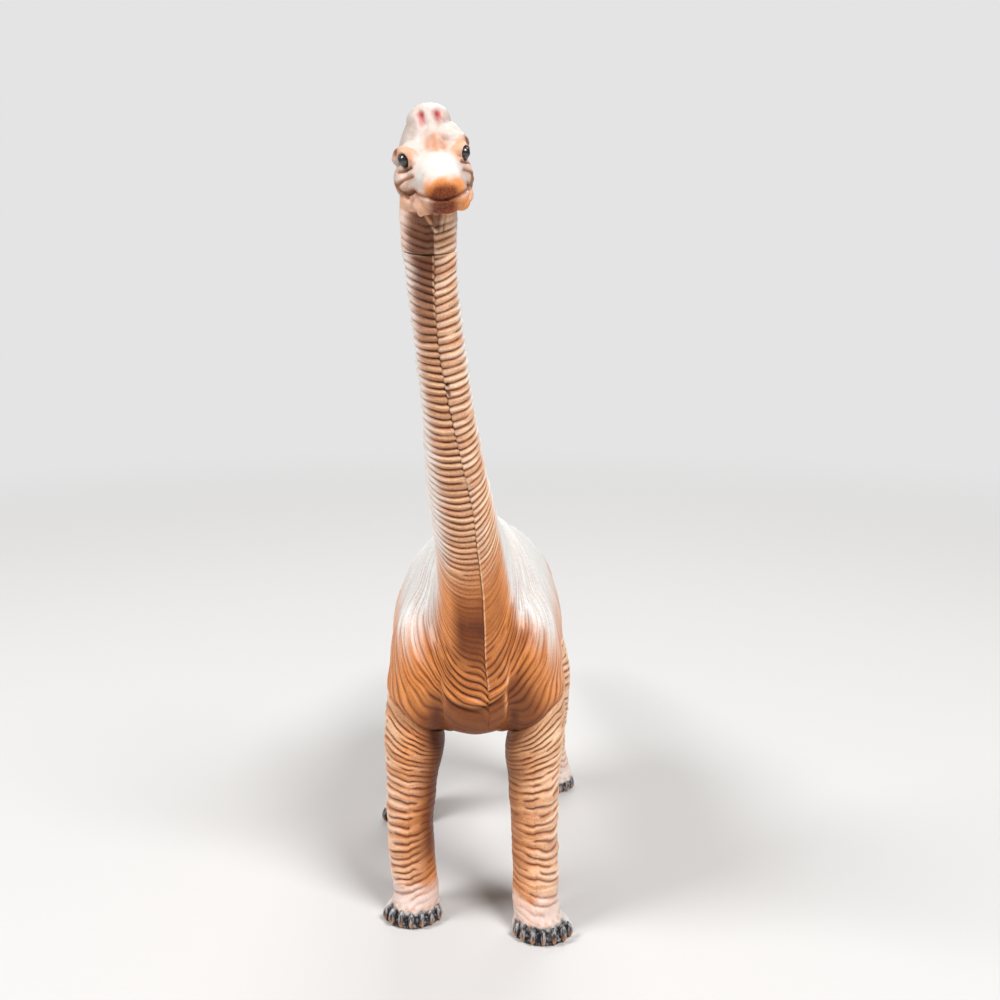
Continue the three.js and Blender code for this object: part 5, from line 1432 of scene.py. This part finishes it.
def lacqueredEye(name):
    # Black gloss lacquer over a moulded bead: a sharp highlight, with the faintest brown depth.
    material, tree = newMaterial(name)
    place = addNode(tree, "ShaderNodeTexCoord").outputs["Object"]
    cloud = addNode(tree, "ShaderNodeTexNoise", inputs={
        "Vector": place, "Scale": 1 / (1.5 * mm)}).outputs[0]
    colour = addNode(tree, "ShaderNodeMix", {"data_type": "RGBA"}, {
        0: cloud, 6: "#070606", 7: "#1c1412"}).outputs[2]
    shader = addNode(tree, "ShaderNodeBsdfPrincipled", inputs={
        "Base Color": colour, "Roughness": 0.34, "IOR": 1.5, "Specular IOR Level": 0.8,
        "Coat Weight": 0.8, "Coat Roughness": 0.14})
    addNode(tree, "ShaderNodeOutputMaterial", inputs={0: shader.outputs[0]})
    return material


skinMaterial = paintedSkin("paintedSoftPvc", skinPaint)
clawMaterial = paintedClaw("paintedClaws")
eyeMaterial = lacqueredEye("blackLacquer")
print("materials made")

folds = foldTree()
for nodeName, side in (("body_left_shell", 1), ("body_right_shell", -1)):
    shell = bodyHalf("leftBodySkin" if side > 0 else "rightBodySkin", side)
    runTree(shell, folds, {"Material": skinMaterial, "Wander Depth": 0.32})
    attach(shell, "trunk")
    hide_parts(nodeName)
print("body skinned")

claws = clawTree()
for leg in legs:
    words = leg["node"].split("_")
    label = words[0] + words[1].capitalize()
    skin = makeLeg(label + "LegSkin", leg)
    runTree(skin, folds, {"Material": skinMaterial, "Wander Depth": 0.55, "Wander Size": 0.009,
                          "Roundness": 0.85, "Upward": -1.0, "Break Size": 0.008})
    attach(skin, leg["node"])
    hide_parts(leg["node"])
    nails = clawPoints(label + "Claws", leg)
    runTree(nails, claws, {"Material": clawMaterial})
    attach(nails, leg["node"])
print("legs skinned")

tail = makeTail("tailSkin")
runTree(tail, folds, {"Material": skinMaterial, "Wander Depth": 0.4})
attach(tail, "tail")
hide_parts("tail")

head = makeHead("headSkin")
runTree(head, folds, {"Material": skinMaterial, "Wander Depth": 0.25})
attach(head, "head")
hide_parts("head")
for nodeName, side in (("left_eye", 1), ("right_eye", -1)):
    eye = makeEye("leftEyeBead" if side > 0 else "rightEyeBead", side)
    eye.data.materials.append(eyeMaterial)
    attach(eye, "head")
    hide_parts(nodeName)
print("head and tail made")

# Studio: a plain pale floor, and large soft lights from above on both sides and from behind

studio = {
    "floorSize": 6.0, "floor": "#c2c1c0", "backdrop": "#e4e4e4", "fadeStart": 0.35, "fadeEnd": 1.3,
    "world": "#e6e2de", "worldStrength": 0.22,
    # place, what it faces, size in metres and power in watts
    "lights": {
        "keyLight": ((0.85, -1.18, 1.8), (0, -0.05, 0.12), 0.8, 49.0),
        "sideLight": ((-1.36, -0.6, 1.79), (0, -0.05, 0.12), 0.8, 40.0),
        "backLight": ((0.2, 1.2, 1.55), (0, 0, 0.15), 1.2, 15.0),
    },
}


def plainFloor():  # fades into the backdrop behind the figure, as a paper sweep does
    half = studio["floorSize"] / 2
    corners = [(-half, -half, 0), (half, -half, 0), (half, half, 0), (-half, half, 0)]
    mesh = bpy.data.meshes.new("floor")
    mesh.from_pydata(corners, [], [(0, 1, 2, 3)])
    floor = bpy.data.objects.new("floor", mesh)
    bpy.context.scene.collection.objects.link(floor)
    material, tree = newMaterial("paperFloor")
    shader = addNode(tree, "ShaderNodeBsdfPrincipled", inputs={
        "Base Color": studio["floor"], "Roughness": 0.8})
    plain = addNode(tree, "ShaderNodeEmission", inputs={
        "Color": studio["backdrop"], "Strength": 1.0})
    place = addNode(tree, "ShaderNodeTexCoord").outputs["Object"]
    distance = addNode(tree, "ShaderNodeVectorMath", {"operation": "LENGTH"}, {
        0: place}).outputs["Value"]
    far = addNode(tree, "ShaderNodeMapRange", {"interpolation_type": "SMOOTHSTEP"}, {
        "Value": distance, "From Min": studio["fadeStart"],
        "From Max": studio["fadeEnd"]}).outputs[0]
    seen = addNode(tree, "ShaderNodeLightPath").outputs["Is Camera Ray"]
    share = addNode(tree, "ShaderNodeMath", {"operation": "MULTIPLY"}, {0: far, 1: seen}).outputs[0]
    chosen = addNode(tree, "ShaderNodeMixShader", inputs={
        0: share, 1: shader.outputs[0], 2: plain.outputs[0]})
    addNode(tree, "ShaderNodeOutputMaterial", inputs={0: chosen.outputs[0]})
    mesh.materials.append(material)


def softLight(name, place, target, size, power):
    data = bpy.data.lights.new(name, "AREA")
    data.shape, data.size, data.energy = "DISK", size, power
    light = bpy.data.objects.new(name, data)
    light.location = place
    light.rotation_euler = (Vector(target) - Vector(place)).to_track_quat("-Z", "Y").to_euler()
    bpy.context.scene.collection.objects.link(light)


plainFloor()
for lightName, values in studio["lights"].items():
    softLight(lightName, *values)
world = bpy.data.worlds.new("studioWorld")
world.use_nodes = True
world.node_tree.nodes.clear()
sky = addNode(world.node_tree, "ShaderNodeBackground", inputs={
    "Color": studio["world"], "Strength": studio["worldStrength"]})
seen = addNode(world.node_tree, "ShaderNodeBackground", inputs={
    "Color": studio["backdrop"], "Strength": 1.0})
ray = addNode(world.node_tree, "ShaderNodeLightPath")
chosen = addNode(world.node_tree, "ShaderNodeMixShader", inputs={
    0: ray.outputs["Is Camera Ray"], 1: sky.outputs[0], 2: seen.outputs[0]})
addNode(world.node_tree, "ShaderNodeOutputWorld", inputs={0: chosen.outputs[0]})
bpy.context.scene.world = world
bpy.context.scene.view_settings.view_transform = "Standard"
print("studio lit")
